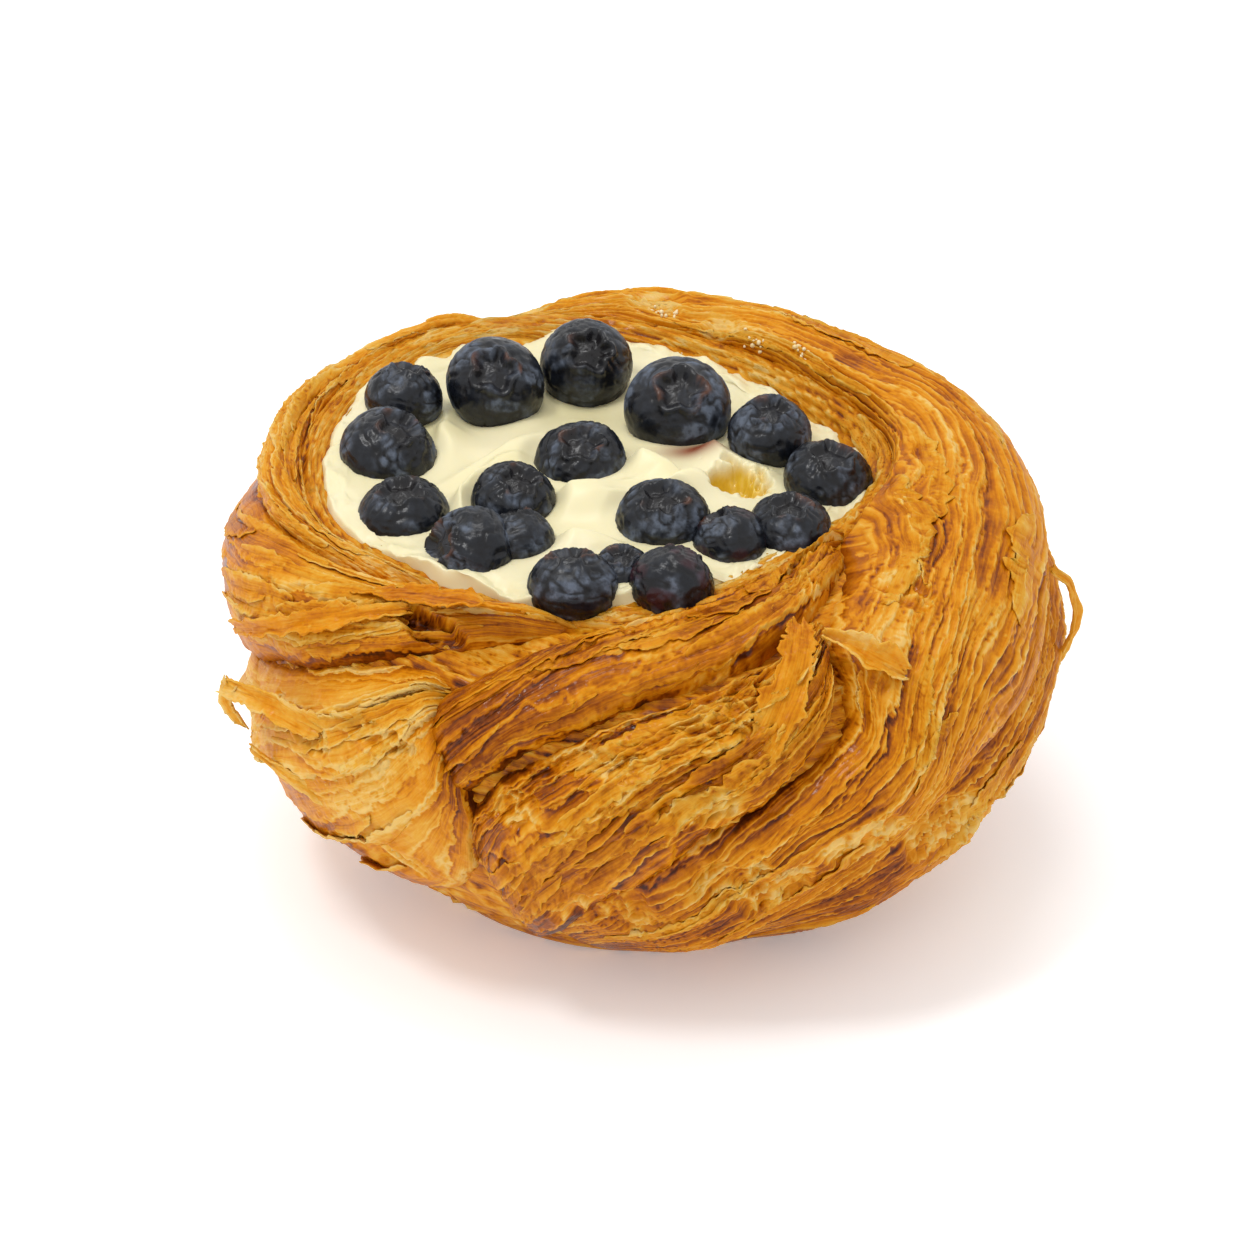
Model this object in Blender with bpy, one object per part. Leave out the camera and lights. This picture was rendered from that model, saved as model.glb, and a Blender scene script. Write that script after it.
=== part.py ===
"""Round Danish pastry: ropes of laminated dough coiled round a pool of cream that is set with blueberries.

Metres, +Z up. The origin is the middle of the flat underside, and -Y is the front. Places on the dough are
given as two angles in degrees: theta goes round the pastry (0 is +X, 270 the front), and phi goes over the
rim (-90 the underside, 0 the widest line, 90 the crest, past 90 the inner wall of the crater).
"""

import math

import bmesh
import bpy
from mathutils import Matrix, Vector

# Driving dimensions
BODY_RADIUS = 0.0590  # at the widest line
BODY_WAIST_HEIGHT = 0.038  # height of the widest line
BASE_RADIUS = 0.033
CREST_HEIGHT = 0.0600  # mean height of the rim's crest
CREST_TILT = 0.0030  # how much the crest rises towards CREST_HIGH_SIDE and falls opposite
CREST_HIGH_SIDE = 60.0
RIM_SHOULDER = 0.005  # the crest lies this far outside the crater's outline
UPPER_FULLNESS = 2.3  # superellipse exponents of the flank above and below the widest line
LOWER_FULLNESS = 1.5
INNER_WALL_RUN = 0.009
INNER_WALL_DROP = 0.012

CRATER_CENTRE = Vector((-0.007, 0.005))
CRATER_RADII = (  # every 30 degrees round the crater's centre, from +X
    0.0395, 0.0355, 0.0350, 0.0400, 0.0440, 0.0415, 0.0395, 0.0380, 0.0345, 0.0365, 0.0360, 0.0365,
)
CRATER_DEPTH = 0.015  # below the cream's edge
CRATER_FLARE = 0.008  # how much the crater widens above the cream's edge
CREAM_LEVEL = 0.0578
GAP = 0.0003  # between pieces that touch

SPINE_RADIUS, SPINE_HEIGHT = 0.040, 0.034  # the ring that the ropes reach in towards
ROPE_REACH = 0.45  # how much of the way to the spine a rope's solid goes
ROPE_SINK = 0.0012  # how far a rope's edges and ends lie under the mean surface
ROPE_CELLS = (16, 6)  # faces along and across a rope
CORE_SEGMENTS, CORE_RINGS = 34, 18
CREAM_SEGMENTS, CREAM_RINGS = 34, 14
CORE_CAP_SHARE = 12.0 / 90.0  # share of the latitudes that make the underside, and the closed top

# Each rope lies between two edges, from its start to its end, as (theta, phi) pairs, and stands LIFT proud.
ROPES = {
    "shoulder": (0.0040,
        ((122, 82), (95, 98), (60, 108), (25, 110), (-10, 103), (-38, 88), (-57, 62), (-61, 25), (-75, 0), (-92, -28),
         (-108, -52)),
        ((128, 52), (98, 50), (66, 46), (34, 34), (5, 18), (-18, 0), (-36, -14), (-52, -28), (-68, -44), (-82, -62),
         (-95, -76))),
    "right_flank": (0.0030,
        ((150, 60), (110, 50), (72, 44), (36, 32), (6, 16), (-17, -2), (-36, -16), (-54, -30), (-72, -50)),
        ((140, 8), (105, 2), (70, -8), (36, -20), (8, -36), (-14, -52), (-32, -64), (-50, -74), (-66, -80))),
    "front": (0.0034,
        ((-18, 108), (-38, 101), (-60, 99), (-80, 98), (-98, 90), (-110, 70), (-120, 44), (-125, 18)),
        ((-34, 88), (-51, 77), (-67, 63), (-82, 55), (-94, 45), (-104, 28), (-112, 8), (-118, -10))),
    "lower_front": (0.0026,
        ((-52, 76), (-66, 62), (-80, 54), (-94, 42), (-104, 25), (-112, 5), (-118, -20)),
        ((-61, 52), (-62, 33), (-69, 10), (-79, -7), (-90, -27), (-102, -47), (-112, -66))),
    "left": (0.0034,
        ((150, 38), (172, 60), (192, 80), (212, 93), (238, 99), (262, 102)),
        ((166, -24), (187, -8), (204, 12), (218, 30), (230, 56), (252, 88))),
    "lower_left": (0.0028,
        ((165, -22), (187, -6), (205, 13), (218, 31), (230, 50), (238, 52)),
        ((188, -66), (207, -60), (225, -52), (240, -40), (246, -14), (243, 18))),
    "left_rim": (0.0028,
        ((236, 104), (202, 106), (170, 106), (140, 104), (112, 98)),
        ((204, 78), (184, 62), (160, 44), (136, 42), (108, 48))),
    "back_flank": (0.0028,
        ((158, 6), (136, -6), (110, -12), (82, -20), (52, -30), (26, -44)),
        ((176, -50), (154, -56), (128, -62), (100, -67), (72, -72), (46, -78))),
}

# Berries: x, y, height of the middle, diameter, the way the crown faces (degrees round, degrees up), and flatness
BERRIES = {
    "berry_back_left": (-35.8, 22.2, 61.0, 11.6, 60, 72, 0.94),
    "berry_left": (-37.6, 8.6, 59.3, 14.8, 330, 66, 0.86),
    "berry_left_front": (-34.7, -8.3, 57.9, 13.6, 250, 80, 0.84),
    "berry_back_big": (-22.2, 23.8, 62.9, 14.8, 272, 46, 0.94),
    "berry_back_middle": (-8.8, 30.2, 62.8, 14.0, 280, 48, 0.94),
    "berry_right_big": (4.8, 17.6, 62.0, 16.0, 276, 56, 0.88),
    "berry_right_back": (18.3, 11.1, 61.0, 12.6, 265, 76, 0.92),
    "berry_right_edge": (26.4, 0.6, 59.0, 13.2, 300, 74, 0.86),
    "berry_right_front": (20.4, -14.2, 59.0, 12.4, 280, 80, 0.84),
    "berry_tucked_right": (12.0, -17.4, 58.6, 11.2, 150, 60, 0.90),
    "berry_centre_right": (2.4, -11.9, 59.3, 13.5, 275, 70, 0.84),
    "berry_centre": (-9.4, 5.1, 59.6, 13.6, 275, 66, 0.80),
    "berry_centre_left": (-19.0, -7.0, 60.0, 12.2, 300, 66, 0.86),
    "berry_front_left": (-24.8, -19.6, 58.2, 14.2, 200, 30, 0.84),
    "berry_tucked_left": (-18.2, -17.0, 58.4, 11.0, 120, 62, 0.90),
    "berry_front": (-10.2, -29.6, 58.6, 12.9, 110, 76, 0.84),
    "berry_tucked_front": (-3.4, -25.4, 58.2, 9.4, 270, 78, 0.86),
    "berry_front_right": (3.6, -29.4, 58.6, 12.6, 60, 40, 0.88),
}
# A berry that its neighbours press on is cut back from them.
PRESSED = {
    "berry_tucked_right": ("berry_right_front", "berry_centre_right"),
    "berry_tucked_left": ("berry_front_left", "berry_centre_left"),
    "berry_tucked_front": ("berry_front", "berry_front_right"),
}
BERRY_SEGMENTS, BERRY_RINGS = 12, 8
CROWN_REACH = 34.0  # degrees from the berry's axis to the edge of its crown
CROWN_DEPTH = 0.16  # of the berry's radius
CROWN_LOBES = 5

MM = 0.001
COLOURS = {  # linear base colour and roughness
    "pastry": ((0.60, 0.27, 0.035, 1.0), 0.45),
    "cream": ((0.93, 0.84, 0.58, 1.0), 0.35),
    "berry": ((0.014, 0.017, 0.026, 1.0), 0.5),
}


def smooth_ring(values, degrees):
    """Reads a closed ring of evenly spaced values at an angle, along a Catmull-Rom curve."""
    place = (degrees % 360.0) / 360.0 * len(values)
    first = int(place)
    a, b, c, d = (values[(first + k) % len(values)] for k in (-1, 0, 1, 2))
    return catmull_rom(a, b, c, d, place - first)


def catmull_rom(a, b, c, d, t):
    return b + 0.5 * t * (c - a + t * (2 * a - 5 * b + 4 * c - d + t * (3 * (b - c) + d - a)))


def edge_point(points, share):
    """The (theta, phi) at a share of the way along a rope's edge."""
    place = min(max(share, 0.0), 1.0) * (len(points) - 1)
    first = min(int(place), len(points) - 2)
    a, b, c, d = (points[min(max(first + k, 0), len(points) - 1)] for k in (-1, 0, 1, 2))
    return tuple(catmull_rom(a[i], b[i], c[i], d[i], place - first) for i in (0, 1))


def crater_radius(theta):
    """How far the crater's outline is from the origin's axis, in the direction theta."""
    way = Vector((math.cos(math.radians(theta)), math.sin(math.radians(theta))))
    reach = CRATER_RADII[0]
    for _ in range(12):
        seen = way * reach - CRATER_CENTRE
        outline = smooth_ring(CRATER_RADII, math.degrees(math.atan2(seen.y, seen.x)))
        reach += 0.7 * (outline - seen.length)
    return reach


def crest_height(theta):
    return CREST_HEIGHT + CREST_TILT * math.cos(math.radians(theta - CREST_HIGH_SIDE))


def power(value, exponent):
    return math.copysign(abs(value) ** (2.0 / exponent), value)


def body_point(theta, phi):
    """A point on the pastry's mean surface."""
    crest, top = crater_radius(theta) + RIM_SHOULDER, crest_height(theta)
    across, up = math.cos(math.radians(phi)), math.sin(math.radians(phi))
    if phi < 0:
        radius = BASE_RADIUS + (BODY_RADIUS - BASE_RADIUS) * power(across, LOWER_FULLNESS)
        height = BODY_WAIST_HEIGHT * (1 + power(up, LOWER_FULLNESS))
    elif phi <= 90:
        radius = crest + (BODY_RADIUS - crest) * power(across, UPPER_FULLNESS)
        height = BODY_WAIST_HEIGHT + (top - BODY_WAIST_HEIGHT) * power(up, UPPER_FULLNESS)
    else:
        radius = crest + INNER_WALL_RUN * across
        height = top - INNER_WALL_DROP * (1 - up)
    return Vector((radius * math.cos(math.radians(theta)), radius * math.sin(math.radians(theta)), height))


def body_normal(theta, phi):
    """The outward normal there, from small steps in both angles."""
    step = 1.5
    phi = min(max(phi, -86.0), 150.0)
    round_way = body_point(theta + step, phi) - body_point(theta - step, phi)
    over_way = body_point(theta, phi + step) - body_point(theta, phi - step)
    return round_way.cross(over_way).normalized()


def material(name):
    """A Principled material in one of the named colours."""
    made = bpy.data.materials.new(name)
    made.use_nodes = True
    colour, roughness = COLOURS[name]
    shader = made.node_tree.nodes["Principled BSDF"]
    shader.inputs["Base Color"].default_value = colour
    shader.inputs["Roughness"].default_value = roughness
    return made


def object_from(bm, name, collection, finish=None):
    """Turns a bmesh into an object in a collection."""
    mesh = bpy.data.meshes.new(name)
    bm.to_mesh(mesh)
    bm.free()
    made = bpy.data.objects.new(name, mesh)
    collection.objects.link(made)
    if finish:
        mesh.materials.append(finish)
        mesh.shade_smooth()
    else:
        made.hide_render = True
        made.display_type = "WIRE"
    return made


def face_out(bm):
    """Turns a closed mesh's faces outwards."""
    bmesh.ops.recalc_face_normals(bm, faces=bm.faces)
    if bm.calc_volume(signed=True) < 0:
        bmesh.ops.reverse_faces(bm, faces=bm.faces)
    return bm


def sphere_mesh(segments, rings, place):
    """A UV sphere primitive whose points are moved to place(theta, latitude), both in degrees."""
    bm = bmesh.new()
    bmesh.ops.create_uvsphere(bm, u_segments=segments, v_segments=rings, radius=1.0)
    for vert in bm.verts:
        theta = math.degrees(math.atan2(vert.co.y, vert.co.x))
        latitude = math.degrees(math.asin(max(-1.0, min(1.0, vert.co.z))))
        vert.co = place(theta, latitude)
    return face_out(bm)


def boolean(target, operation, tool):
    """Adds a Boolean modifier with the exact solver."""
    modifier = target.modifiers.new(f"{operation.lower()}_{tool.name}", "BOOLEAN")
    modifier.operation = operation
    modifier.solver = "EXACT"
    modifier.object = tool


def core_place(theta, latitude):
    """The core is the mean surface, closed by a flat underside and a flat top."""
    edge = 90.0 * (1 - CORE_CAP_SHARE)
    if abs(latitude) <= edge:
        return body_point(theta, latitude * 90.0 / edge)
    share = (90.0 - abs(latitude)) / (90.0 - edge)
    rim = body_point(theta, math.copysign(90.0, latitude))
    return Vector((rim.x * share, rim.y * share, rim.z))


def rope_point(edges, along, across, lift):
    """A point on a rope, proud of the mean surface in the rope's middle and sunk in it at its edges and ends."""
    left, right = (edge_point(points, along) for points in edges)
    theta, phi = (left[i] + (right[i] - left[i]) * across for i in (0, 1))
    crown = max(0.0, 1 - (2 * across - 1) ** 2) ** 0.6
    ends = min(1.0, 6 * along, 6 * (1 - along))
    raised = (lift + ROPE_SINK) * crown * ends - ROPE_SINK
    return body_point(theta, phi) + body_normal(theta, phi) * raised


def spine_point(theta):
    """The middle of the dough under a place on the rim, which every rope reaches in towards."""
    way = math.radians(theta)
    return Vector((SPINE_RADIUS * math.cos(way), SPINE_RADIUS * math.sin(way), SPINE_HEIGHT))


def rope(name, lift, edges, collection):
    """A rope of dough: a grid primitive laid between its edges and extruded in towards the spine."""
    bm = bmesh.new()
    bmesh.ops.create_grid(bm, x_segments=ROPE_CELLS[0], y_segments=ROPE_CELLS[1], size=1.0)
    for vert in bm.verts:
        vert.co = rope_point(edges, (vert.co.x + 1) / 2, (vert.co.y + 1) / 2, lift)
    sunk = bmesh.ops.extrude_face_region(bm, geom=bm.faces[:])["geom"]
    for vert in sunk:
        if isinstance(vert, bmesh.types.BMVert):
            theta = math.degrees(math.atan2(vert.co.y, vert.co.x))
            vert.co = vert.co.lerp(spine_point(theta), ROPE_REACH)
    return object_from(face_out(bm), f"rope_{name}", collection)


def bowl_place(gap, top):
    """The crater's shape: a bowl below the cream's edge, and above it what top(theta, share) says."""

    def place(theta, latitude):
        radius = crater_radius(theta) - gap
        way = Vector((math.cos(math.radians(theta)), math.sin(math.radians(theta)), 0))
        if latitude > 0:
            return top(theta, way, radius, latitude / 90.0)
        up = math.sin(math.radians(latitude))
        across = math.cos(math.radians(latitude))
        return way * radius * across**0.55 + Vector((0, 0, CREAM_LEVEL + (CRATER_DEPTH - gap) * up))

    return place


def crater_top(theta, way, radius, share):
    """Above the cream the cutter flares out with the inner wall, then closes well above the crest."""
    flare = min(share / 0.7, 1.0)
    closing = max(0.0, (share - 0.7) / 0.3)
    out = (radius + CRATER_FLARE * flare) * (1 - closing)
    return way * out + Vector((0, 0, CREAM_LEVEL + 0.014 * flare + 0.004 * closing))


def cream_swell(x, y):
    """The spread cream's waves: ridges left by a knife, a dome in the middle and one hollow right of it."""
    from_middle = (Vector((x, y)) - CRATER_CENTRE).length
    dome = 0.0012 * (1 - (from_middle / 0.04) ** 2)
    waves = 0.0005 * math.sin(x * 230 + 1.1 * math.sin(y * 150)) + 0.0004 * math.sin(y * 260 - x * 90)
    hollow = -0.0050 * math.exp(-(((x - 0.0125) / 0.0055) ** 2) - ((y - 0.0010) / 0.0050) ** 2)
    return dome + waves + hollow


def cream_top(theta, way, radius, share):
    spot = way * radius * math.cos(share * math.pi / 2) ** 0.8
    return spot + Vector((0, 0, CREAM_LEVEL + cream_swell(spot.x, spot.y) * min(1.0, share * 4)))


def berry_surface(diameter, flatness, grow):
    """A berry about its own axis: flattened, with a lobed crown sunk in its top."""

    def place(theta, latitude):
        radius = diameter / 2 + grow
        polar = 90.0 - latitude
        crown = max(0.0, 1 - polar / CROWN_REACH)
        lobes = 1 + 0.25 * math.cos(math.radians(CROWN_LOBES * theta))
        lip = 0.05 * math.exp(-(((polar - CROWN_REACH) / 12.0) ** 2))
        reach = radius * (1 + lip - (CROWN_DEPTH * lobes * crown**0.5 if crown and not grow else 0.0))
        up = math.sin(math.radians(latitude))
        across = math.cos(math.radians(latitude))
        return Vector((
            reach * across * math.cos(math.radians(theta)),
            reach * across * math.sin(math.radians(theta)),
            reach * up * flatness,
        ))

    return place


def berry_matrix(x, y, z, turn, rise):
    """Turns a berry's axis to the way its crown faces, and puts it in its place."""
    flat = math.cos(math.radians(rise))
    axis = Vector((flat * math.cos(math.radians(turn)), flat * math.sin(math.radians(turn)),
                   math.sin(math.radians(rise))))
    return Matrix.Translation((x * MM, y * MM, z * MM)) @ axis.to_track_quat("Z", "Y").to_matrix().to_4x4()


def berry(name, collection, finish=None, grow=0.0):
    """One berry, or with grow its cutter, which leaves that gap round it."""
    x, y, z, diameter, turn, rise, flatness = BERRIES[name]
    bm = sphere_mesh(BERRY_SEGMENTS, BERRY_RINGS, berry_surface(diameter * MM, flatness, grow))
    bm.transform(berry_matrix(x, y, z, turn, rise))
    return object_from(bm, f"{name}_space" if grow else name, collection, finish)


def slab(name, size, centre, collection):
    """A box cutter."""
    bm = bmesh.new()
    bmesh.ops.create_cube(bm, size=1.0, matrix=Matrix.Translation(centre) @ Matrix.Diagonal((*size, 1.0)))
    return object_from(bm, name, collection)


def main():
    for old in list(bpy.data.objects):
        bpy.data.objects.remove(old)
    parts = bpy.data.collections.new("danish_pastry")
    cutters = bpy.data.collections.new("cutters")
    for collection in (parts, cutters):
        bpy.context.scene.collection.children.link(collection)

    berry_finish = material("berry")
    for name in BERRIES:
        berry(name, parts, berry_finish)
    spaces = {name: berry(name, cutters, grow=GAP) for name in BERRIES}
    for name, neighbours in PRESSED.items():
        for neighbour in neighbours:
            boolean(bpy.data.objects[name], "DIFFERENCE", spaces[neighbour])

    cream = object_from(sphere_mesh(CREAM_SEGMENTS, CREAM_RINGS, bowl_place(GAP, cream_top)), "cream", parts, material("cream"))
    pastry = object_from(sphere_mesh(CORE_SEGMENTS, CORE_RINGS, core_place), "pastry", parts, material("pastry"))
    for name, (lift, *edges) in ROPES.items():
        boolean(pastry, "UNION", rope(name, lift, edges, cutters))
    crater = object_from(sphere_mesh(CREAM_SEGMENTS, CREAM_RINGS, bowl_place(0.0, crater_top)), "crater", cutters)
    floor = slab("floor", (0.2, 0.2, 0.04), (0, 0, -0.02), cutters)
    boolean(pastry, "DIFFERENCE", crater)
    boolean(pastry, "DIFFERENCE", floor)
    for space in spaces.values():
        boolean(cream, "DIFFERENCE", space)
        boolean(pastry, "DIFFERENCE", space)


if __name__ == "__main__":
    main()
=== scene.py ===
"""A round Danish pastry: coiled ropes of laminated dough round a pool of cream that is set with blueberries.

Every piece is in metres in the frame's own axes: +Z up, the front towards -Y, the underside at Z = 0. Places
on the dough are given in degrees, as theta, the way round from +X, and phi, the way over the rim: -90 the
underside, 0 the widest line, 90 the crest, past 90 the inner wall. Heights and lengths named with _mm are in
millimetres.
"""

import logging
import math
from dataclasses import dataclass, field
from enum import Enum

import bpy
import numpy as np
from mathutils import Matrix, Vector


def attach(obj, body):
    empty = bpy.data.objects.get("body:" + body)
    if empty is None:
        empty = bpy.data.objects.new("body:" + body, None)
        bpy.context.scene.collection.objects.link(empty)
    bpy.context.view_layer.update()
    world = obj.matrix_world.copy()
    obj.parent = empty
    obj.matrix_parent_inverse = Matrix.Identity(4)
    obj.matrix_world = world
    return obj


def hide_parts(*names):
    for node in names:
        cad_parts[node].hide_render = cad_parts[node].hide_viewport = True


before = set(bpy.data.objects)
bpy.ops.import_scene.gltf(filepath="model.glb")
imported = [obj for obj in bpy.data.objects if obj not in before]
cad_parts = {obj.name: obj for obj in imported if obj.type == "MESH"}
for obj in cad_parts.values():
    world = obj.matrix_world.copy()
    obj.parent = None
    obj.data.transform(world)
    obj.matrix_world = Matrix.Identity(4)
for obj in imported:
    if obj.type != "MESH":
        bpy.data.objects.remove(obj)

Array = np.ndarray
Track = tuple[tuple[float, float], ...]
Colour = tuple[float, float, float]

MM = 0.001
SPACE_SIDE = 64
LAYER_SHARE = 0.55
MAP_MARGIN = 0.03
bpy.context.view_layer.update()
log = logging.getLogger("danish_pastry")


class Slot(Enum):
    """The record's material slots."""

    PASTRY = "pastry"
    CREAM = "cream"
    BERRY = "berry"


# ---- Random but repeatable unevenness ----


@dataclass(frozen=True)
class Unevenness:
    """Smooth random values over a plane or through space, the same on each run."""

    seed: int = 7
    side: int = 256

    def table(self, shape: tuple[int, ...]) -> Array:
        """The lattice of random values between 0 and 1."""
        return np.random.default_rng(self.seed).random(shape, np.float32)

    def plane(self, x: Array, y: Array, salt: float = 0.0) -> Array:
        """Smooth values between 0 and 1 over a plane, one bump for each unit.

        Args:
            x: first coordinate.
            y: second coordinate.
            salt: picks another stretch of the lattice.

        Returns:
            The values at those places.
        """
        grid, side = PLANE_LATTICE, self.side
        x, y = np.broadcast_arrays(np.asarray(x, float) + 17.31 * salt, np.asarray(y, float) + 9.73 * salt)
        i, j = np.floor(x).astype(int), np.floor(y).astype(int)
        a, b = x - i, y - j
        a, b = a * a * (3 - 2 * a), b * b * (3 - 2 * b)
        i0, i1, j0, j1 = i % side, (i + 1) % side, j % side, (j + 1) % side
        low = grid[i0, j0] * (1 - a) + grid[i1, j0] * a
        high = grid[i0, j1] * (1 - a) + grid[i1, j1] * a
        return low * (1 - b) + high * b

    def rough(self, x: Array, y: Array, salt: float = 0.0, layers: int = 3) -> Array:
        """Layered values between about -1 and 1, each layer half as large and twice as fine.

        Args:
            x: first coordinate.
            y: second coordinate.
            salt: picks another stretch of the lattice.
            layers: how many are added.

        Returns:
            The values at those places.
        """
        total, size = 0.0, 0.0
        for k in range(layers):
            total = total + (self.plane(x * 2**k, y * 2**k, salt + 3.7 * k) * 2 - 1) * LAYER_SHARE**k
            size += LAYER_SHARE**k
        return total / size * 1.4

    def ridged(self, x: Array, y: Array, salt: float = 0.0) -> Array:
        """Sharp-topped ridges between 0 and 1."""
        return 1 - np.abs(2 * self.plane(x, y, salt) - 1) ** 0.8

    def space(self, place: Array, scale: float, salt: float = 0.0) -> Array:
        """Values between 0 and 1 through space.

        Args:
            place: points, in metres.
            scale: bumps for each metre.
            salt: picks another stretch of the lattice.

        Returns:
            The values at those points.
        """
        p = place * scale + salt * 11.3 + 100.0
        i = np.floor(p).astype(int)
        f = p - i
        f = f * f * (3 - 2 * f)
        total = np.zeros(p.shape[:-1])
        for corner in range(8):
            step = np.array([(corner >> k) & 1 for k in range(3)])
            weight = np.prod(np.where(step, f, 1 - f), axis=-1)
            at = (i + step) % SPACE_SIDE
            total += weight * SPACE_LATTICE[at[..., 0], at[..., 1], at[..., 2]]
        return total


CHANCE = Unevenness()
PLANE_LATTICE = CHANCE.table((CHANCE.side, CHANCE.side))
SPACE_LATTICE = Unevenness(seed=11).table((SPACE_SIDE, SPACE_SIDE, SPACE_SIDE))
plane, rough, ridged, space = CHANCE.plane, CHANCE.rough, CHANCE.ridged, CHANCE.space


def smooth_step(low: float, high: float, value: Array) -> Array:
    """0 below low, 1 above high and an S-curve between."""
    t = np.clip((value - low) / (high - low), 0.0, 1.0)
    return t * t * (3 - 2 * t)


def hump(value: Array, middle: float, width: float) -> Array:
    """A smooth hump of height 1."""
    return np.exp(-(((value - middle) / width) ** 2))


def cos_of(degrees: Array) -> Array:
    """The cosine of an angle in degrees."""
    return np.cos(np.radians(degrees))


def curve_through(a: Array, b: Array, c: Array, d: Array, t: Array) -> Array:
    """The Catmull-Rom curve between b and c, at share t."""
    return b + 0.5 * t * (c - a + t * (2 * a - 5 * b + 4 * c - d + t * (3 * (b - c) + d - a)))


def along_track(track: Track, share: Array) -> tuple[Array, Array]:
    """Reads a track of angle pairs.

    Args:
        track: (theta, phi) pairs in degrees.
        share: how far along, 0 to 1.

    Returns:
        theta and phi there.
    """
    points = np.array(track, float)
    place = np.clip(share, 0, 1) * (len(points) - 1)
    first = np.minimum(place.astype(int), len(points) - 2)
    a, b, c, d = (points[np.clip(first + k, 0, len(points) - 1)] for k in (-1, 0, 1, 2))
    found = curve_through(a, b, c, d, (place - first)[..., None])
    return found[..., 0], found[..., 1]


# ---- Mesh helpers ----


def primitive(kind: str, name: str, **settings: object) -> bpy.types.Object:
    """Adds one mesh primitive, alone selected.

    Args:
        kind: the operator's name after primitive_, such as grid.
        name: the new object's name.
        settings: passed to the operator.

    Returns:
        The new object.
    """
    bpy.ops.object.select_all(action="DESELECT")
    getattr(bpy.ops.mesh, f"primitive_{kind}_add")(**settings)
    made = bpy.context.object
    made.name = made.data.name = name
    if made.data.uv_layers:
        made.data.uv_layers[0].name = "OFBake"
    return made


def select_only(*pieces: bpy.types.Object) -> None:
    """Selects these pieces alone, the first as the active one.

    Args:
        pieces: what is selected.
    """
    bpy.ops.object.select_all(action="DESELECT")
    for piece in pieces:
        piece.select_set(True)
    bpy.context.view_layer.objects.active = pieces[0]


def points_of(piece: bpy.types.Object) -> Array:
    """Reads the piece's points.

    Args:
        piece: the piece.

    Returns:
        One row for each point.
    """
    flat = np.empty(len(piece.data.vertices) * 3, np.float32)
    piece.data.vertices.foreach_get("co", flat)
    return flat.reshape(-1, 3).astype(float)


def move_points(piece: bpy.types.Object, places: Array) -> None:
    """Puts each point of the piece in its place."""
    piece.data.vertices.foreach_set("co", places.astype(np.float32).ravel())
    piece.data.update()


def paint(piece: bpy.types.Object, name: str, values: Array) -> None:
    """Stores one number for each point, for the materials to read."""
    layer = piece.data.attributes.get(name) or piece.data.attributes.new(name, "FLOAT", "POINT")
    layer.data.foreach_set("value", np.broadcast_to(values, len(piece.data.vertices)).astype(np.float32))


def close_seams(piece: bpy.types.Object) -> None:
    """Merges the points that lie on each other and turns the faces outwards.

    Args:
        piece: the piece.
    """
    select_only(piece)
    bpy.ops.object.mode_set(mode="EDIT")
    bpy.ops.mesh.select_all(action="SELECT")
    bpy.ops.mesh.remove_doubles(threshold=1e-7)
    bpy.ops.mesh.normals_make_consistent(inside=False)
    bpy.ops.object.mode_set(mode="OBJECT")
    bpy.ops.object.shade_smooth()


def apply_modifier(piece: bpy.types.Object, kind: str, **settings: object) -> None:
    """Adds a modifier to the piece and applies it.

    Args:
        piece: the piece.
        kind: the modifier's type.
        settings: its values.
    """
    select_only(piece)
    modifier = piece.modifiers.new(kind.lower(), kind)
    for key, value in settings.items():
        setattr(modifier, key, value)
    bpy.ops.object.modifier_apply(modifier=modifier.name)


def join(pieces: list[bpy.types.Object], name: str) -> bpy.types.Object:
    """Makes one object of several.

    Args:
        pieces: what is joined.
        name: the name of the whole.

    Returns:
        The one object.
    """
    select_only(*pieces)
    if len(pieces) > 1:
        bpy.ops.object.join()
    whole = bpy.context.view_layer.objects.active
    whole.name = whole.data.name = name
    return whole


def pack_map(piece: bpy.types.Object, cell: int, count: int) -> None:
    """Moves the piece's map into its own cell of a square of cells.

    Args:
        piece: the piece, whose map fills the whole square.
        cell: which cell it takes.
        count: how many cells are needed.
    """
    side = math.ceil(math.sqrt(count))
    layer = piece.data.uv_layers["OFBake"]
    flat = np.empty(len(layer.data) * 2, np.float32)
    layer.data.foreach_get("uv", flat)
    corner = np.array([cell % side, cell // side], np.float32)
    flat = ((flat.reshape(-1, 2) * (1 - 2 * MAP_MARGIN) + MAP_MARGIN) + corner) / side
    layer.data.foreach_set("uv", flat.ravel())


def finish_piece(piece: bpy.types.Object, slot: Slot, finish: bpy.types.Material, *nodes: str) -> None:
    """Dresses a piece, ties it to the body and hides the solids that it replaces.

    Args:
        piece: the piece.
        slot: the record's slot; not used.
        finish: its material.
        nodes: names of the solids that it replaces.
    """
    piece.data.materials.clear()
    piece.data.materials.append(finish)
    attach(piece, "root")
    if nodes:
        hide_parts(*nodes)
    log.info("%s: %d faces", piece.name, len(piece.data.polygons))


# ---- The dough's mean shape ----


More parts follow.
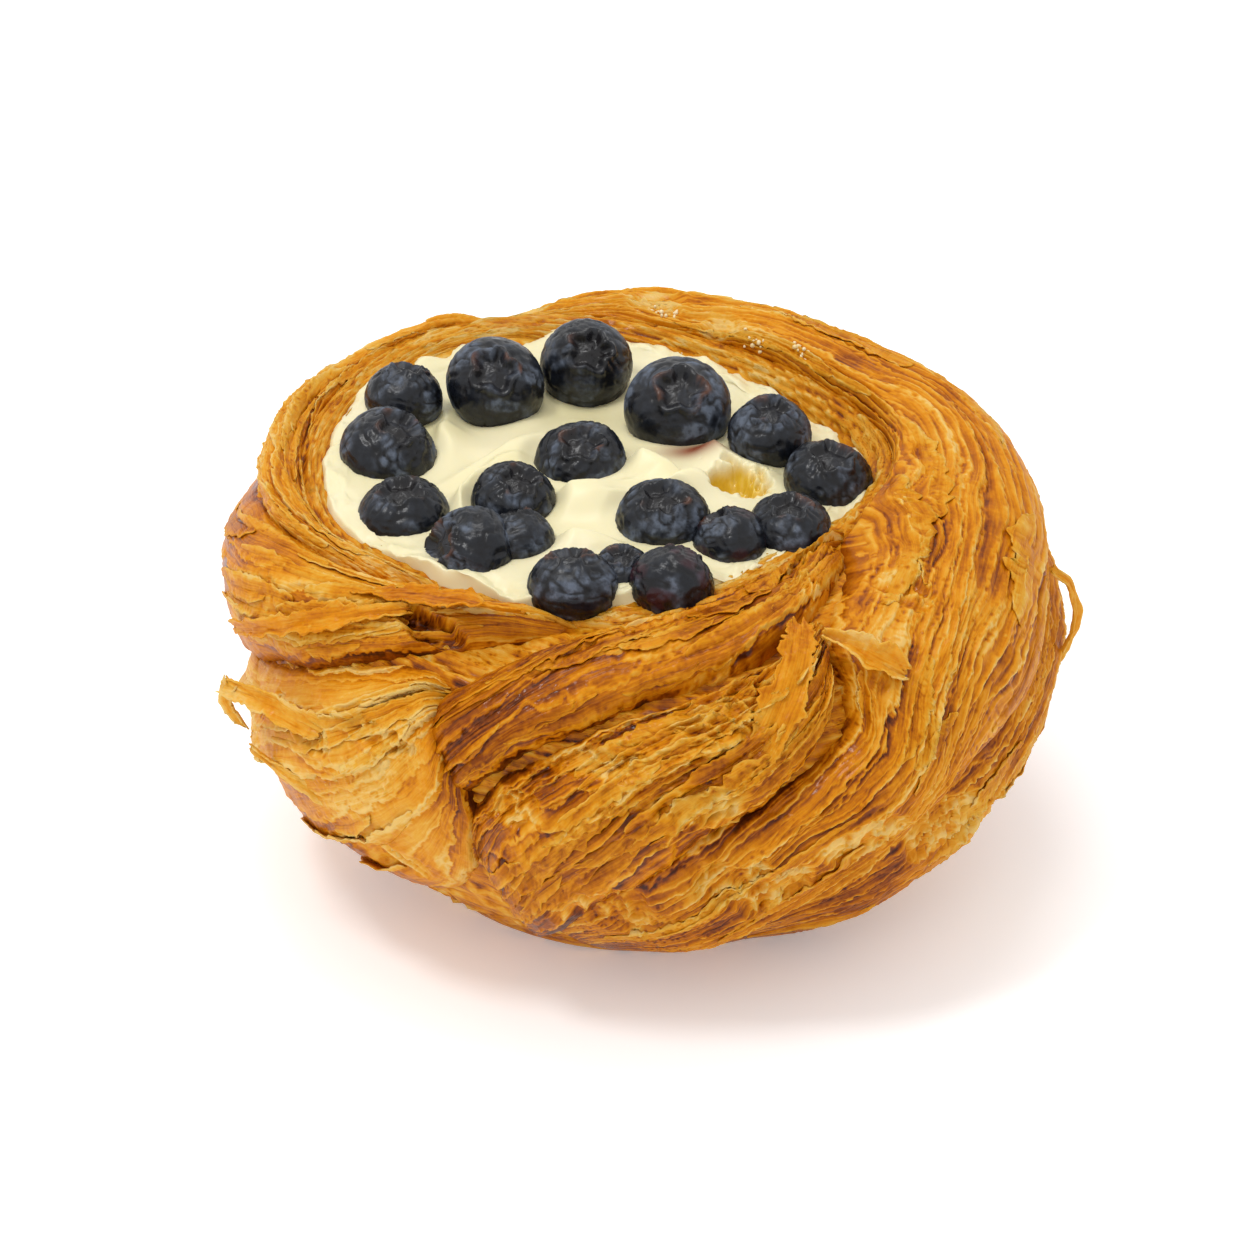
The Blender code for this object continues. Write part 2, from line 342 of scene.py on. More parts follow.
@dataclass(frozen=True)
class DoughShape:
    """The pastry's mean surface, which ropes and flakes are laid on."""

    radius: float = 0.0590
    waist: float = 0.038
    base_radius: float = 0.033
    crest: float = 0.0600
    crest_tilt: float = 0.0030
    high_side: float = 60.0
    rim_shoulder: float = 0.005
    upper_fullness: float = 2.3
    lower_fullness: float = 1.5
    wall_run: float = 0.0070
    wall_drop: float = 0.012
    deep_side: float = 35.0
    crater_x: float = -0.007
    crater_y: float = 0.005
    crater_radii: tuple[float, ...] = (
        0.0395, 0.0355, 0.0350, 0.0400, 0.0440, 0.0415, 0.0395, 0.0380, 0.0345, 0.0365, 0.0360, 0.0365,
    )
    cream_level: float = 0.0578
    spine_radius: float = 0.040
    spine_height: float = 0.034

    def crater_radius(self, theta: Array) -> Array:
        """How far the crater's outline is from the middle.

        Args:
            theta: degrees round.

        Returns:
            Distances in metres.
        """
        way = np.radians(theta)
        reach = np.full(np.shape(theta), self.crater_radii[0])
        ring = np.array(self.crater_radii)
        for _ in range(12):
            x, y = np.cos(way) * reach - self.crater_x, np.sin(way) * reach - self.crater_y
            place = (np.degrees(np.arctan2(y, x)) % 360) / 360 * len(ring)
            first = place.astype(int)
            a, b, c, d = (ring[(first + k) % len(ring)] for k in (-1, 0, 1, 2))
            reach = reach + 0.7 * (curve_through(a, b, c, d, place - first) - np.hypot(x, y))
        return reach

    def point(self, theta: Array, phi: Array) -> Array:
        """Points on the mean surface.

        Args:
            theta: degrees round.
            phi: degrees over the rim.

        Returns:
            Points in metres.
        """
        theta, phi = np.broadcast_arrays(np.asarray(theta, float), np.asarray(phi, float))
        crest = self.crater_radius(theta) + self.rim_shoulder
        top = self.crest + self.crest_tilt * cos_of(theta - self.high_side)
        across, up = cos_of(phi), np.sin(np.radians(phi))
        low_a, low_u = np.abs(across) ** (2 / self.lower_fullness), np.abs(up) ** (2 / self.lower_fullness)
        high_a, high_u = np.abs(across) ** (2 / self.upper_fullness), np.abs(up) ** (2 / self.upper_fullness)
        side = cos_of(theta - self.deep_side)
        drop = self.wall_drop * (0.12 + 0.88 * smooth_step(0.15, 0.75, side))
        below, outside = phi < 0, phi <= 90
        radius = np.where(outside, crest + (self.radius - crest) * high_a, crest + self.wall_run * across)
        radius = np.where(below, self.base_radius + (self.radius - self.base_radius) * low_a, radius)
        height = np.where(outside, self.waist + (top - self.waist) * high_u, top - drop * (1 - up))
        height = np.where(below, self.waist * (1 - low_u), height)
        way = np.radians(theta)
        return np.stack([radius * np.cos(way), radius * np.sin(way), height], -1)

    def normal(self, theta: Array, phi: Array) -> Array:
        """The outward directions there, of length 1.

        Args:
            theta: degrees round.
            phi: degrees over the rim.

        Returns:
            Unit vectors.
        """
        step = 2.0
        phi = np.clip(phi, -86.0, 150.0)
        round_way = self.point(theta + step, phi) - self.point(theta - step, phi)
        over_way = self.point(theta, phi + step) - self.point(theta, phi - step)
        found = np.cross(round_way, over_way)
        return found / np.linalg.norm(found, axis=-1, keepdims=True)

    def raised(self, theta: Array, phi: Array, height: Array) -> Array:
        """Points that stand proud of the mean surface."""
        theta, phi = np.broadcast_arrays(np.asarray(theta, float), np.asarray(phi, float))
        return self.point(theta, phi) + self.normal(theta, phi) * np.asarray(height)[..., None]

    def spine(self, theta: Array) -> Array:
        """The ring inside the dough that closed pieces reach in to.

        Args:
            theta: degrees round.

        Returns:
            Points in metres.
        """
        way = np.radians(theta)
        return np.stack([self.spine_radius * np.cos(way), self.spine_radius * np.sin(way),
                         np.full(np.shape(way), self.spine_height)], -1)


SHAPE = DoughShape()


# ---- Laminated dough ----


@dataclass
class Skin:
    """What the dough is like at some places: its relief, its tone and where they lie along its strands."""

    height_mm: Array
    brown: Array
    crumb: Array
    along_mm: Array
    across_mm: Array

    def paint_on(self, piece: bpy.types.Object, brown: Array) -> None:
        """Stores the skin on the piece's points.

        Args:
            piece: a piece with as many points as there are places.
            brown: the tone that it ends up with, browning together with painted shade.
        """
        paint(piece, "brown", np.clip(brown, 0.0, 1.0))
        paint(piece, "crumb", self.crumb)
        paint(piece, "along", self.along_mm)
        paint(piece, "across", self.across_mm)


@dataclass(frozen=True)
class Lamination:
    """How a stretch of dough is layered: shingled bands, fine ridges and loose crumb along it."""

    bands: tuple[tuple[float, float], ...] = ((6.0, 0.9), (2.6, 0.4), (1.2, 0.18))
    ridge_mm: float = 0.16
    wander_mm: float = 1.8
    ragged_mm: float = 0.5
    crumb_mm: float = 0.10
    net_mm: float = 0.0
    bake: float = 0.5
    contrast: float = 0.75
    streak: float = 0.14
    mottle: float = 0.16
    salt: float = 0.0

    def relief(self, u: Array, v: Array) -> Skin:
        """What the dough is like at places on it.

        Args:
            u: millimetres along the layers.
            v: millimetres across them.

        Returns:
            Its skin there: relief about 0, and how brown each place is, 0 pale to 1 dark.
        """
        salt = self.salt
        crossing = v + self.wander_mm * rough(u / 32, v / 11, salt) + 0.3 * rough(u / 6, v / 3, salt + 1)
        height = np.zeros(np.broadcast(u, v).shape)
        brown, riser = np.zeros_like(height), np.zeros_like(height)
        for k, (pitch, tall) in enumerate(self.bands):
            here = salt + 5 + k
            torn = self.ragged_mm * min(1.0, pitch / 3) * rough(u / 3.4, v / (2 * pitch), here + 0.4, 2)
            torn = torn + 0.30 * min(1.0, pitch / 3) * rough(u / 0.95, v / 1.4, here + 0.6, 2)
            place = (crossing + torn) / pitch + 0.45 * rough(u / (7 * pitch), v / (3 * pitch), here, 2)
            layer = np.floor(place)
            share = place - layer
            drop = min(0.45, 0.28 / pitch + 0.04)
            amount = 0.15 + 1.3 * plane(u / 26 + layer * 7.31, layer * 3.17, here + 0.7)
            amount = tall * np.clip(amount, 0, 1.3)
            height += amount * ((share**1.4) * (1 - smooth_step(1 - drop, 1.0, share)) - 0.40)
            size = amount / max(tall, 1e-6)
            weight = min(1.0, tall / 0.5)
            brown -= 0.46 * weight * size * hump(share, 1 - 0.6 * drop, 0.10)
            # Painted shade: the foot of each step, under the edge of the layer above, is darkened.
            brown += 0.36 * weight * size * hump(share, 0.04, 0.10)
            brown += 0.24 * weight * (plane(u / 60 + layer * 3.3, layer * 1.9, here + 2) - 0.5)
            riser = np.maximum(riser, weight * size * smooth_step(1 - 2.4 * drop, 1 - drop, share))
        fine = ridged(u / 11, crossing / 0.95, salt + 20) - 0.5
        finer = ridged(u / 5, crossing / 0.5, salt + 21) - 0.5
        height += self.ridge_mm * (fine + 0.7 * finer)
        brown -= self.streak * (fine + finer)
        grains = ridged(u / 1.3, v / 1.0, salt + 30) * plane(u / 0.7, v / 0.6, salt + 31)
        open_crumb = smooth_step(0.50, 0.78, plane(u / 13, v / 6, salt + 32))
        crumb = np.clip(0.9 * open_crumb + 0.9 * riser, 0, 1)
        height += self.crumb_mm * (0.25 + crumb) * (grains - 0.3) * 2
        brown -= 0.10 * open_crumb * (1 + grains)
        if self.net_mm:
            cells = ridged(u / 2.4 + v / 3, v / 1.7 - u / 5, salt + 33)
            height += self.net_mm * (cells - 0.5)
            brown -= 0.35 * self.net_mm * (cells - 0.5)
        brown += self.mottle * rough(u / 18, v / 9, salt + 34)
        brown = np.clip(self.bake + self.contrast * brown, 0.0, 1.0)
        return Skin(height, brown, crumb, u + 0 * height, crossing)


@dataclass(frozen=True)
class CrumbPatch:
    """An oval of broken skin where the curly crumb shows: its middle and half-widths are in degrees."""

    theta: float
    phi: float
    wide: float
    high: float
    depth_mm: float
    curls_mm: float
    tone: float

    def add_to(self, skin: Skin, theta: Array, phi: Array) -> None:
        """Sinks and roughens the skin inside the oval.

        Args:
            skin: the skin, which is changed.
            theta: degrees round of each place.
            phi: degrees over the rim of each place.
        """
        away = np.hypot(((theta - self.theta + 180) % 360 - 180) / self.wide, (phi - self.phi) / self.high)
        away = away + 0.25 * rough(skin.along_mm / 3, skin.across_mm / 3, self.theta, 2)
        inside = 1 - smooth_step(0.7, 1.1, away)
        u, v = skin.along_mm, skin.across_mm
        u, v = u + 1.5 * rough(u / 3, v / 3, 61, 2), v + 1.5 * rough(u / 3, v / 3, 62, 2)
        curls = ridged(u / 2.6, v / 1.7, 60) ** 2 - 0.4
        skin.height_mm += inside * (self.curls_mm * curls - self.depth_mm) + 0.3 * hump(away, 0.95, 0.2)
        skin.brown += inside * (self.tone - skin.brown - 0.7 * curls) * 0.85
        skin.crumb = np.clip(skin.crumb + 0.7 * inside, 0, 1)


PATCHES = tuple(CrumbPatch(*row) for row in (
    (231, 66, 8, 5.0, 2.6, 0.2, 1.0), (281, 45, 8, 17, 1.7, 2.4, 0.52), (319, 60, 4, 13, 0.7, 1.0, 0.40),
    (304, 80, 4, 6, 0.3, 1.2, 0.45), (262, 24, 9, 6, 0.8, 1.1, 0.24),
    (276, 8, 8, 7, 0.8, 1.1, 0.26), (284, -22, 9, 8, 0.8, 1.2, 0.24),
    (252, 2, 5, 8, 0.8, 1.0, 0.30), (264, -34, 9, 9, 0.9, 1.3, 0.30),
    (300, -14, 7, 8, 0.7, 1.1, 0.26), (232, 18, 8, 5, 0.7, 1.0, 0.26),
    (218, 6, 9, 5, 0.6, 0.9, 0.26), (88, 78, 6, 8, 0.6, 1.0, 0.30),
    (74, 92, 5, 8, 0.6, 1.0, 0.28), (112, 70, 7, 10, 0.6, 1.0, 0.34),
    (318, -28, 9, 8, 0.7, 1.1, 0.26), (336, -36, 9, 8, 0.7, 1.0, 0.28),
    (228, -30, 9, 7, 0.6, 0.9, 0.26), (150, 20, 9, 9, 0.6, 0.9, 0.36),
))


@dataclass(frozen=True)
class Rope:
    """A rope of dough between two edges of the mean surface."""

    name: str
    lift_mm: float
    cells: tuple[int, int]
    left: Track
    right: Track
    dough: Lamination
    sink_mm: float = 2.4
    head: float = 0.12
    tail: float = 0.14
    leaves: int = 20
    leaf_lift_mm: tuple[float, float] = (0.15, 0.7)
    samples: int = 60
    slack: float = 1.08

    def lengths(self) -> tuple[float, float]:
        """Measures the rope.

        Returns:
            Its mean length and width, in millimetres.
        """
        share = np.linspace(0, 1, self.samples)
        sides = [SHAPE.point(*along_track(edge, share)) for edge in (self.left, self.right)]
        middle = (sides[0] + sides[1]) / 2
        long = np.linalg.norm(np.diff(middle, axis=0), axis=1).sum()
        wide = np.linalg.norm(sides[0] - sides[1], axis=1).mean()
        return long / MM, wide / MM * self.slack

    def surface(self, along: Array, across: Array, extra_mm: Array = 0.0,
                share: float = 1.0) -> tuple[Array, Skin]:
        """Points on the rope's skin.

        Args:
            along: how far along it, 0 to 1.
            across: how far across it, 0 to 1.
            extra_mm: how far above the skin.
            share: how much of the fine relief is followed.

        Returns:
            Points in metres, and the skin there.
        """
        long, wide = self.lengths()
        u, v = along * long, (across - 0.5) * wide
        slide = 0.9 / wide * rough(u / 9, v * 0 + self.dough.salt, 50) * (2 * across - 1) ** 2
        slide = slide + 0.35 / wide * rough(u / 2.2, v * 0 + self.dough.salt, 51) * (2 * across - 1) ** 4
        theta_l, phi_l = along_track(self.left, along)
        theta_r, phi_r = along_track(self.right, along)
        mix = across + slide
        theta, phi = theta_l + (theta_r - theta_l) * mix, phi_l + (phi_r - phi_l) * mix
        crown = np.clip(1 - (2 * across - 1) ** 2, 0, 1) ** 0.62
        ends = smooth_step(0, self.head, along) * smooth_step(0, self.tail, 1 - along)
        skin = self.dough.relief(u, v)
        for patch in PATCHES:
            patch.add_to(skin, theta, phi)
        # Painted shade: the low front of the dough is darkened; the back is made a little paler.
        low_front_shade = hump(theta, -82, 26) * (1 - smooth_step(-30, 30, phi))
        skin.brown = skin.brown - 0.08 * hump(theta, 90, 45) + 0.07 * low_front_shade
        swell = 0.7 * rough(u / 22, v / 14, self.dough.salt + 52)
        flush = 1 - 0.62 * smooth_step(66, 92, phi) * (1 - smooth_step(0.45, 0.8, cos_of(theta - 22)))
        height = (self.lift_mm * flush + swell + self.sink_mm) * crown * ends - self.sink_mm
        relief = skin.height_mm * share * np.clip(crown * 1.5, 0, 1) * np.clip(ends * 1.5, 0, 1)
        height = height + relief + extra_mm
        height = height - 1.4 * hump(theta, 105, 40) * smooth_step(30, 70, phi)
        height = height * (0.35 + 0.65 * smooth_step(0.002, 0.020, SHAPE.point(theta, phi)[..., 2]))
        return SHAPE.raised(theta, phi, height * MM), skin

    def build(self) -> bpy.types.Object:
        """Lays a fine grid over the rope and closes it on the spine inside the dough.

        Returns:
            The rope as a closed mesh, with its browning and painted shade stored on it.
        """
        nu, nv = self.cells
        piece = primitive("grid", f"rope_{self.name}", x_subdivisions=nu, y_subdivisions=nv, size=2.0)
        flat = points_of(piece)
        raw_u, raw_v = (flat[:, 0] + 1) / 2 * nu, (flat[:, 1] + 1) / 2 * nv
        along, across = np.clip((raw_u - 1) / (nu - 2), 0, 1), np.clip((raw_v - 1) / (nv - 2), 0, 1)
        places, skin = self.surface(along, across)
        theta, _ = along_track(self.left, along)
        inner = (raw_v < 0.5) | (raw_v > nv - 0.5)
        places[inner] = SHAPE.spine(theta)[inner]
        for end in (raw_u < 0.5, raw_u > nu - 0.5):
            places[end] = SHAPE.spine(theta[end].mean())
        move_points(piece, places)
        # Painted shade: the tone is made darker towards the bottom and along the rope's two edges, where it
        # dips into the crevices beside its neighbours.
        height = smooth_step(0.0, 0.034, places[:, 2])
        skin.paint_on(piece, skin.brown + 0.19 * (1 - height) + 0.22 * np.abs(2 * across - 1) ** 8)
        close_seams(piece)
        return piece


SHOULDER = Rope(
    "shoulder", 4.0, (430, 214),
    ((122, 82), (95, 98), (60, 108), (25, 110), (-10, 103), (-38, 88), (-57, 62), (-61, 25), (-75, 0),
     (-92, -28), (-108, -52)),
    ((128, 52), (98, 50), (66, 46), (34, 34), (5, 18), (-18, 0), (-36, -14), (-52, -28), (-68, -44),
     (-82, -62), (-95, -76)),
    Lamination(((6.0, 1.0), (2.3, 0.60), (1.1, 0.34)), ridge_mm=0.42, wander_mm=2.6, ragged_mm=0.30,
               crumb_mm=0.06, bake=0.62, contrast=0.64, streak=0.36, mottle=0.11, salt=1),
    leaves=18, leaf_lift_mm=(0.1, 0.5),
)
RIGHT_FLANK = Rope(
    "right_flank", 3.0, (430, 214),
    ((150, 60), (110, 50), (72, 44), (36, 32), (6, 16), (-17, -2), (-36, -16), (-54, -30), (-72, -50)),
    ((140, 8), (105, 2), (70, -8), (36, -20), (8, -36), (-14, -52), (-32, -64), (-50, -74), (-66, -80)),
    Lamination(((5.2, 1.1), (2.2, 0.5), (1.1, 0.2)), ridge_mm=0.28, ragged_mm=0.5, bake=0.61, contrast=0.7,
               streak=0.30, salt=2),
    leaves=26, head=0.04,
)
FRONT = Rope(
    "front", 3.4, (320, 150),
    ((-18, 108), (-38, 101), (-60, 99), (-80, 98), (-98, 90), (-110, 70), (-120, 44), (-125, 18)),
    ((-34, 88), (-51, 77), (-67, 63), (-82, 55), (-94, 45), (-104, 28), (-112, 8), (-118, -10)),
    Lamination(((8.5, 1.5), (3.1, 0.55), (1.3, 0.2)), ridge_mm=0.20, wander_mm=2.0, ragged_mm=0.6,
               crumb_mm=0.20, bake=0.78, streak=0.18, salt=3),
    leaves=26,
)
LOWER_FRONT = Rope(
    "lower_front", 2.6, (300, 240),
    ((-52, 76), (-66, 62), (-80, 54), (-94, 42), (-104, 25), (-112, 5), (-118, -20)),
    ((-61, 52), (-62, 33), (-69, 10), (-79, -7), (-90, -27), (-102, -47), (-112, -66)),
    Lamination(((9.0, 1.6), (3.4, 0.7), (1.5, 0.3)), ridge_mm=0.20, ragged_mm=0.9, crumb_mm=0.40, bake=0.69,
               streak=0.18, salt=4),
    leaves=34, leaf_lift_mm=(0.2, 1.0),
)
LEFT = Rope(
    "left", 3.4, (300, 200),
    ((150, 38), (172, 60), (192, 80), (212, 93), (238, 99), (262, 102)),
    ((166, -24), (187, -8), (204, 12), (218, 30), (230, 56), (252, 88)),
    Lamination(((10.0, 0.7), (4.2, 0.35), (1.6, 0.12)), ridge_mm=0.12, ragged_mm=0.5, crumb_mm=0.12,
               bake=0.56, mottle=0.26, salt=5),
    leaves=18,
)
LOWER_LEFT = Rope(
    "lower_left", 2.8, (300, 200),
    ((165, -22), (187, -6), (205, 13), (218, 31), (230, 50), (238, 52)),
    ((188, -66), (207, -60), (225, -52), (240, -40), (246, -14), (243, 18)),
    Lamination(((9.0, 1.7), (3.6, 0.35), (1.3, 0.10)), ridge_mm=0.12, ragged_mm=0.7, crumb_mm=0.26,
               bake=0.48, mottle=0.36, salt=6),
    leaves=16, leaf_lift_mm=(0.3, 1.0),
)
LEFT_RIM = Rope(
    "left_rim", 2.8, (300, 150),
    ((236, 104), (202, 106), (170, 106), (140, 104), (112, 98)),
    ((204, 78), (184, 62), (160, 44), (136, 42), (108, 48)),
    Lamination(((4.8, 0.7), (2.1, 0.35), (1.1, 0.18)), ridge_mm=0.22, net_mm=0.45, wander_mm=2.4, bake=0.50,
               salt=7),
    leaves=22,
)
BACK_FLANK = Rope(
    "back_flank", 2.8, (300, 150),
    ((158, 6), (136, -6), (110, -12), (82, -20), (52, -30), (26, -44)),
    ((176, -50), (154, -56), (128, -62), (100, -67), (72, -72), (46, -78)),
    Lamination(((5.4, 1.0), (2.3, 0.45), (1.1, 0.2)), bake=0.50, salt=8), leaves=26, head=0.05,
)
ROPES = (SHOULDER, RIGHT_FLANK, FRONT, LOWER_FRONT, LEFT, LOWER_LEFT, LEFT_RIM, BACK_FLANK)


@dataclass(frozen=True)
class DoughCore:
    """What shows between the ropes: crumbly dough, the crater's inner wall and the baked underside."""

    segments: int = 260
    rings: int = 150
    under_edge: float = -72.0
    crest_at: float = 38.0
    wall_end: float = 74.0
    floor_height: float = 0.046
    sunk_mm: float = 1.9
    dough: Lamination = Lamination(((4.5, 1.0), (2.0, 0.45), (1.1, 0.2)), crumb_mm=0.25, bake=0.55,
                                   streak=0.2, salt=9)

    def build(self) -> bpy.types.Object:
        """Shapes a sphere into the core.

        Returns:
            The core as a closed mesh, with its browning and painted shade stored on it.
        """
        piece = primitive("uv_sphere", "dough_core", segments=self.segments, ring_count=self.rings,
                          radius=1.0)
        ball = points_of(piece)
        theta = np.degrees(np.arctan2(ball[:, 1], ball[:, 0]))
        lat = np.degrees(np.arcsin(np.clip(ball[:, 2], -1, 1)))
        phi = np.interp(lat, (self.under_edge, self.crest_at, self.wall_end), (-90.0, 90.0, 175.0))
        skin = self.dough.relief(theta * 0.9, phi * 0.5 + theta * 0.12)
        sunk = skin.height_mm - self.sunk_mm * (1 - smooth_step(84, 112, phi))
        flat_out = smooth_step(-88, -70, phi) * (1 - smooth_step(150, 172, phi))
        places = SHAPE.raised(theta, phi, sunk * flat_out * MM)
        under = np.clip((lat + 90) / (90 + self.under_edge), 0, 1)[:, None]
        below = lat < self.under_edge
        places[below] *= np.concatenate([under, under, np.ones_like(under)], 1)[below]
        floor = np.clip((90 - lat) / (90 - self.wall_end), 0, 1)[:, None]
        inside = lat > self.wall_end
        middle = np.array([SHAPE.crater_x, SHAPE.crater_y, self.floor_height])
        places[inside] = middle + (places[inside] - middle) * floor[inside]
        places[:, 2] = np.maximum(places[:, 2], 0.0)
        move_points(piece, places)
        wall = smooth_step(92, 120, phi)
        skin.paint_on(piece, skin.brown + 0.12 - 0.20 * wall)
        close_seams(piece)
        return piece


# ---- Leaves and flakes ----


@dataclass(frozen=True)
class Leaf:
    """One thin layer of dough that lies along a rope and lifts at its torn edge."""

    along: float
    across: float
    length_mm: float
    width_mm: float
    lift_mm: float
    outward: int
    salt: float
    cells: tuple[int, int] = (76, 5)
    thickness_mm: float = 0.16
    rest_mm: float = 0.10
    root_mm: float = 0.35

    def build(self, rope: Rope) -> bpy.types.Object:
        """Makes the leaf on its rope.

        Args:
            rope: the rope that it lies on.

        Returns:
            The leaf, with its browning stored on it.
        """
        piece = primitive("grid", "leaf", x_subdivisions=self.cells[0], y_subdivisions=self.cells[1],
                          size=2.0)
        flat = points_of(piece)
        s, t = (flat[:, 0] + 1) / 2, (flat[:, 1] + 1) / 2
        long, wide = rope.lengths()
        torn = 1 + 0.30 * rough(s * self.length_mm / 4.0, s * 0, self.salt, 2)
        torn = torn + 0.25 * rough(s * self.length_mm / 1.1, s * 0, self.salt + 6, 2)
        taper = np.clip(np.sin(math.pi * s), 0, 1) ** 0.6
        reach = self.width_mm * (0.25 + 0.75 * taper * torn)
        along = self.along + (s - 0.5) * self.length_mm / long + 0.3 / long * rough(t * 4, s * 9,
                                                                                    self.salt + 1)
        bend = 1.2 * rough(s * self.length_mm / 24, s * 0, self.salt + 2, 2)
        across = self.across + self.outward * (t * reach + bend) / wide
        lift = self.lift_mm * t**1.6 * (0.35 + 0.9 * plane(s * self.length_mm / 8, s * 0, self.salt + 3))
        lift = lift * (0.3 + 0.7 * taper) + 0.12 * t * rough(s * self.length_mm / 1.8, t * 2, self.salt + 4)
        root = -self.root_mm * (1 - smooth_step(0, 0.25, t))
        along, across = np.clip(along, 0.0, 1.0), np.clip(across, 0.02, 0.98)
        places, skin = rope.surface(along, across, self.rest_mm + lift + root, 0.80)
        move_points(piece, places)
        tone = 0.45 * skin.brown + 0.55 * (rope.dough.bake + 0.22 * rough(s * 3, t, self.salt + 5))
        skin.paint_on(piece, tone - 0.26 * t**3 - 0.10 * (1 - taper))
        apply_modifier(piece, "SOLIDIFY", thickness=self.thickness_mm * MM, offset=0.0)
        return piece


def leaves_of(rope: Rope) -> bpy.types.Object:
    """Scatters leaves over a rope, longest first.

    Args:
        rope: the rope.

    Returns:
        All its leaves as one object.
    """
    chance = np.random.default_rng(int(100 + rope.dough.salt))
    made = []
    for k in range(rope.leaves):
        low, high = rope.leaf_lift_mm
        leaf = Leaf(
            along=chance.uniform(0.08, 0.93), across=chance.uniform(0.10, 0.88),
            length_mm=chance.uniform(9, 36), width_mm=chance.uniform(1.0, 3.4),
            lift_mm=chance.uniform(low, high),
            outward=1 if chance.random() < 0.6 else -1, salt=float(rope.dough.salt * 40 + k),
        )
        piece = leaf.build(rope)
        pack_map(piece, k, rope.leaves)
        made.append(piece)
    whole = join(made, f"leaves_{rope.name}")
    close_seams(whole)
    return whole


@dataclass(frozen=True)
class Flake:
    """A torn flake that stands off the dough along a track of (theta, phi, height in millimetres)."""

    name: str
    track: tuple[tuple[float, float, float], ...]
    widths_mm: tuple[float, ...]
    curl_mm: float = 0.8
    tilt_mm: float = 0.0
    bake: float = 0.35
    salt: float = 0.0
    cells: tuple[int, int] = (110, 26)
    thickness_mm: float = 0.28
    steps: int = 120
    soften: int = 11

    def build(self) -> bpy.types.Object:
        """Makes the flake.

        Returns:
            The flake as a closed mesh, with its browning stored on it.
        """
        piece = primitive("grid", f"flake_{self.name}", x_subdivisions=self.cells[0],
                          y_subdivisions=self.cells[1],
                          size=2.0)
        flat = points_of(piece)
        s, t = (flat[:, 0] + 1) / 2, flat[:, 1]
        line = np.linspace(0, 1, self.steps)
        keys = np.linspace(0, 1, len(self.track))
        theta, phi, height = (np.interp(line, keys, [p[k] for p in self.track]) for k in range(3))
        window = np.hanning(2 * self.soften + 1)
        kernel = window / window.sum()
        theta, phi, height = (
            np.convolve(np.pad(a, self.soften, mode="edge"), kernel, "valid") for a in (theta, phi, height)
        )
        middle = SHAPE.raised(theta, phi, height * MM)
        way = np.gradient(middle, axis=0)
        way /= np.linalg.norm(way, axis=1, keepdims=True)
        out = SHAPE.normal(theta, phi)
        side = np.cross(out, way)
        side /= np.linalg.norm(side, axis=1, keepdims=True)

        def read(rows: Array) -> Array:
            """Reads rows of the line at each point of the flake."""
            return np.stack([np.interp(s, line, rows[:, k]) for k in range(3)], -1)

        long = np.linalg.norm(np.diff(middle, axis=0), axis=1).sum() / MM
        width = np.interp(s, np.linspace(0, 1, len(self.widths_mm)), self.widths_mm)
        torn = 1 + 0.28 * rough(s * long / 2.4, np.sign(t) * 3.0, self.salt, 2)
        torn = torn + 0.22 * rough(s * long / 0.8, np.sign(t) * 3.0, self.salt + 6, 2) * np.abs(t)
        over = t * width / 2 * torn
        wave = 0.35 * rough(s * long / 3, t * 1.4, self.salt + 1) + self.curl_mm * t * t + self.tilt_mm * t
        wave = wave + 0.30 * (ridged(s * long / 7, over / 0.9, self.salt + 5) - 0.5)
        end = 1.0 * rough(t * 4, s * 0, self.salt + 2) * np.abs(2 * s - 1) ** 6
        places = read(middle) + read(side) * (over * MM)[:, None] + read(out) * (wave * MM)[:, None]
        places += read(way) * (end * MM)[:, None]
        move_points(piece, places)
        tone = self.bake + 0.18 * rough(s * long / 4, t * 2, self.salt + 3) - 0.15 * np.abs(t) ** 3
        crumb = 0.4 * plane(s * long / 4, t * 2, self.salt + 4)
        Skin(wave, tone, crumb, s * long, over + self.salt).paint_on(piece, tone)
        apply_modifier(piece, "SOLIDIFY", thickness=self.thickness_mm * MM, offset=0.0)
        close_seams(piece)
        return piece


FLAKES = (
    Flake("rim", ((216, 66, 2.6), (226, 72, 4.0), (236, 76, 4.6), (247, 80, 3.2)),
          (1.6, 4.4, 4.6, 0.9), 0.5, -0.6, 0.60, 201),
    Flake("finger", ((-62, 66, 2.6), (-66, 54, 3.6), (-71, 38, 3.4), (-76, 20, 1.8)),
          (3.0, 4.8, 6.0, 5.0), 0.2, 0.0, 0.52, 202),
    Flake("loose", ((-61, 57, 3.4), (-58, 50, 4.6), (-55, 42, 4.8), (-52, 35, 4.4)),
          (0.5, 3.2, 5.0, 1.4), 1.3, 0.4, 0.34, 203),
    Flake("left_upper", ((222, 8, 2.0), (214, 11, 4.6), (206, 9, 7.4)),
          (4.2, 3.4, 2.6), 0.6, 0.5, 0.30, 204),
    Flake("left_hook", ((207, 11, 6.8), (206, 3, 7.2), (207, -5, 5.2)),
          (2.6, 2.8, 1.2), 0.5, -0.4, 0.28, 205),
    Flake("left_lower", ((222, -18, 1.6), (215, -14, 3.6), (208, -11, 5.2)),
          (2.8, 1.8, 0.7), 0.5, 0.3, 0.30, 206),
    Flake("right", ((-6, 22, 1.4), (-5, 14, 3.4), (-5, 4, 4.2), (-6, -7, 3.0), (-8, -16, 0.8)),
          (1.0, 1.8, 1.7, 1.1, 0.5), 0.4, 0.3, 0.42, 207),
    Flake("left_lobe_lip", ((196, 16, 2.8), (208, 34, 4.0), (219, 52, 4.2), (228, 68, 3.2)),
          (1.6, 2.6, 3.0, 1.2), 0.5, 0.5, 0.50, 208),
)


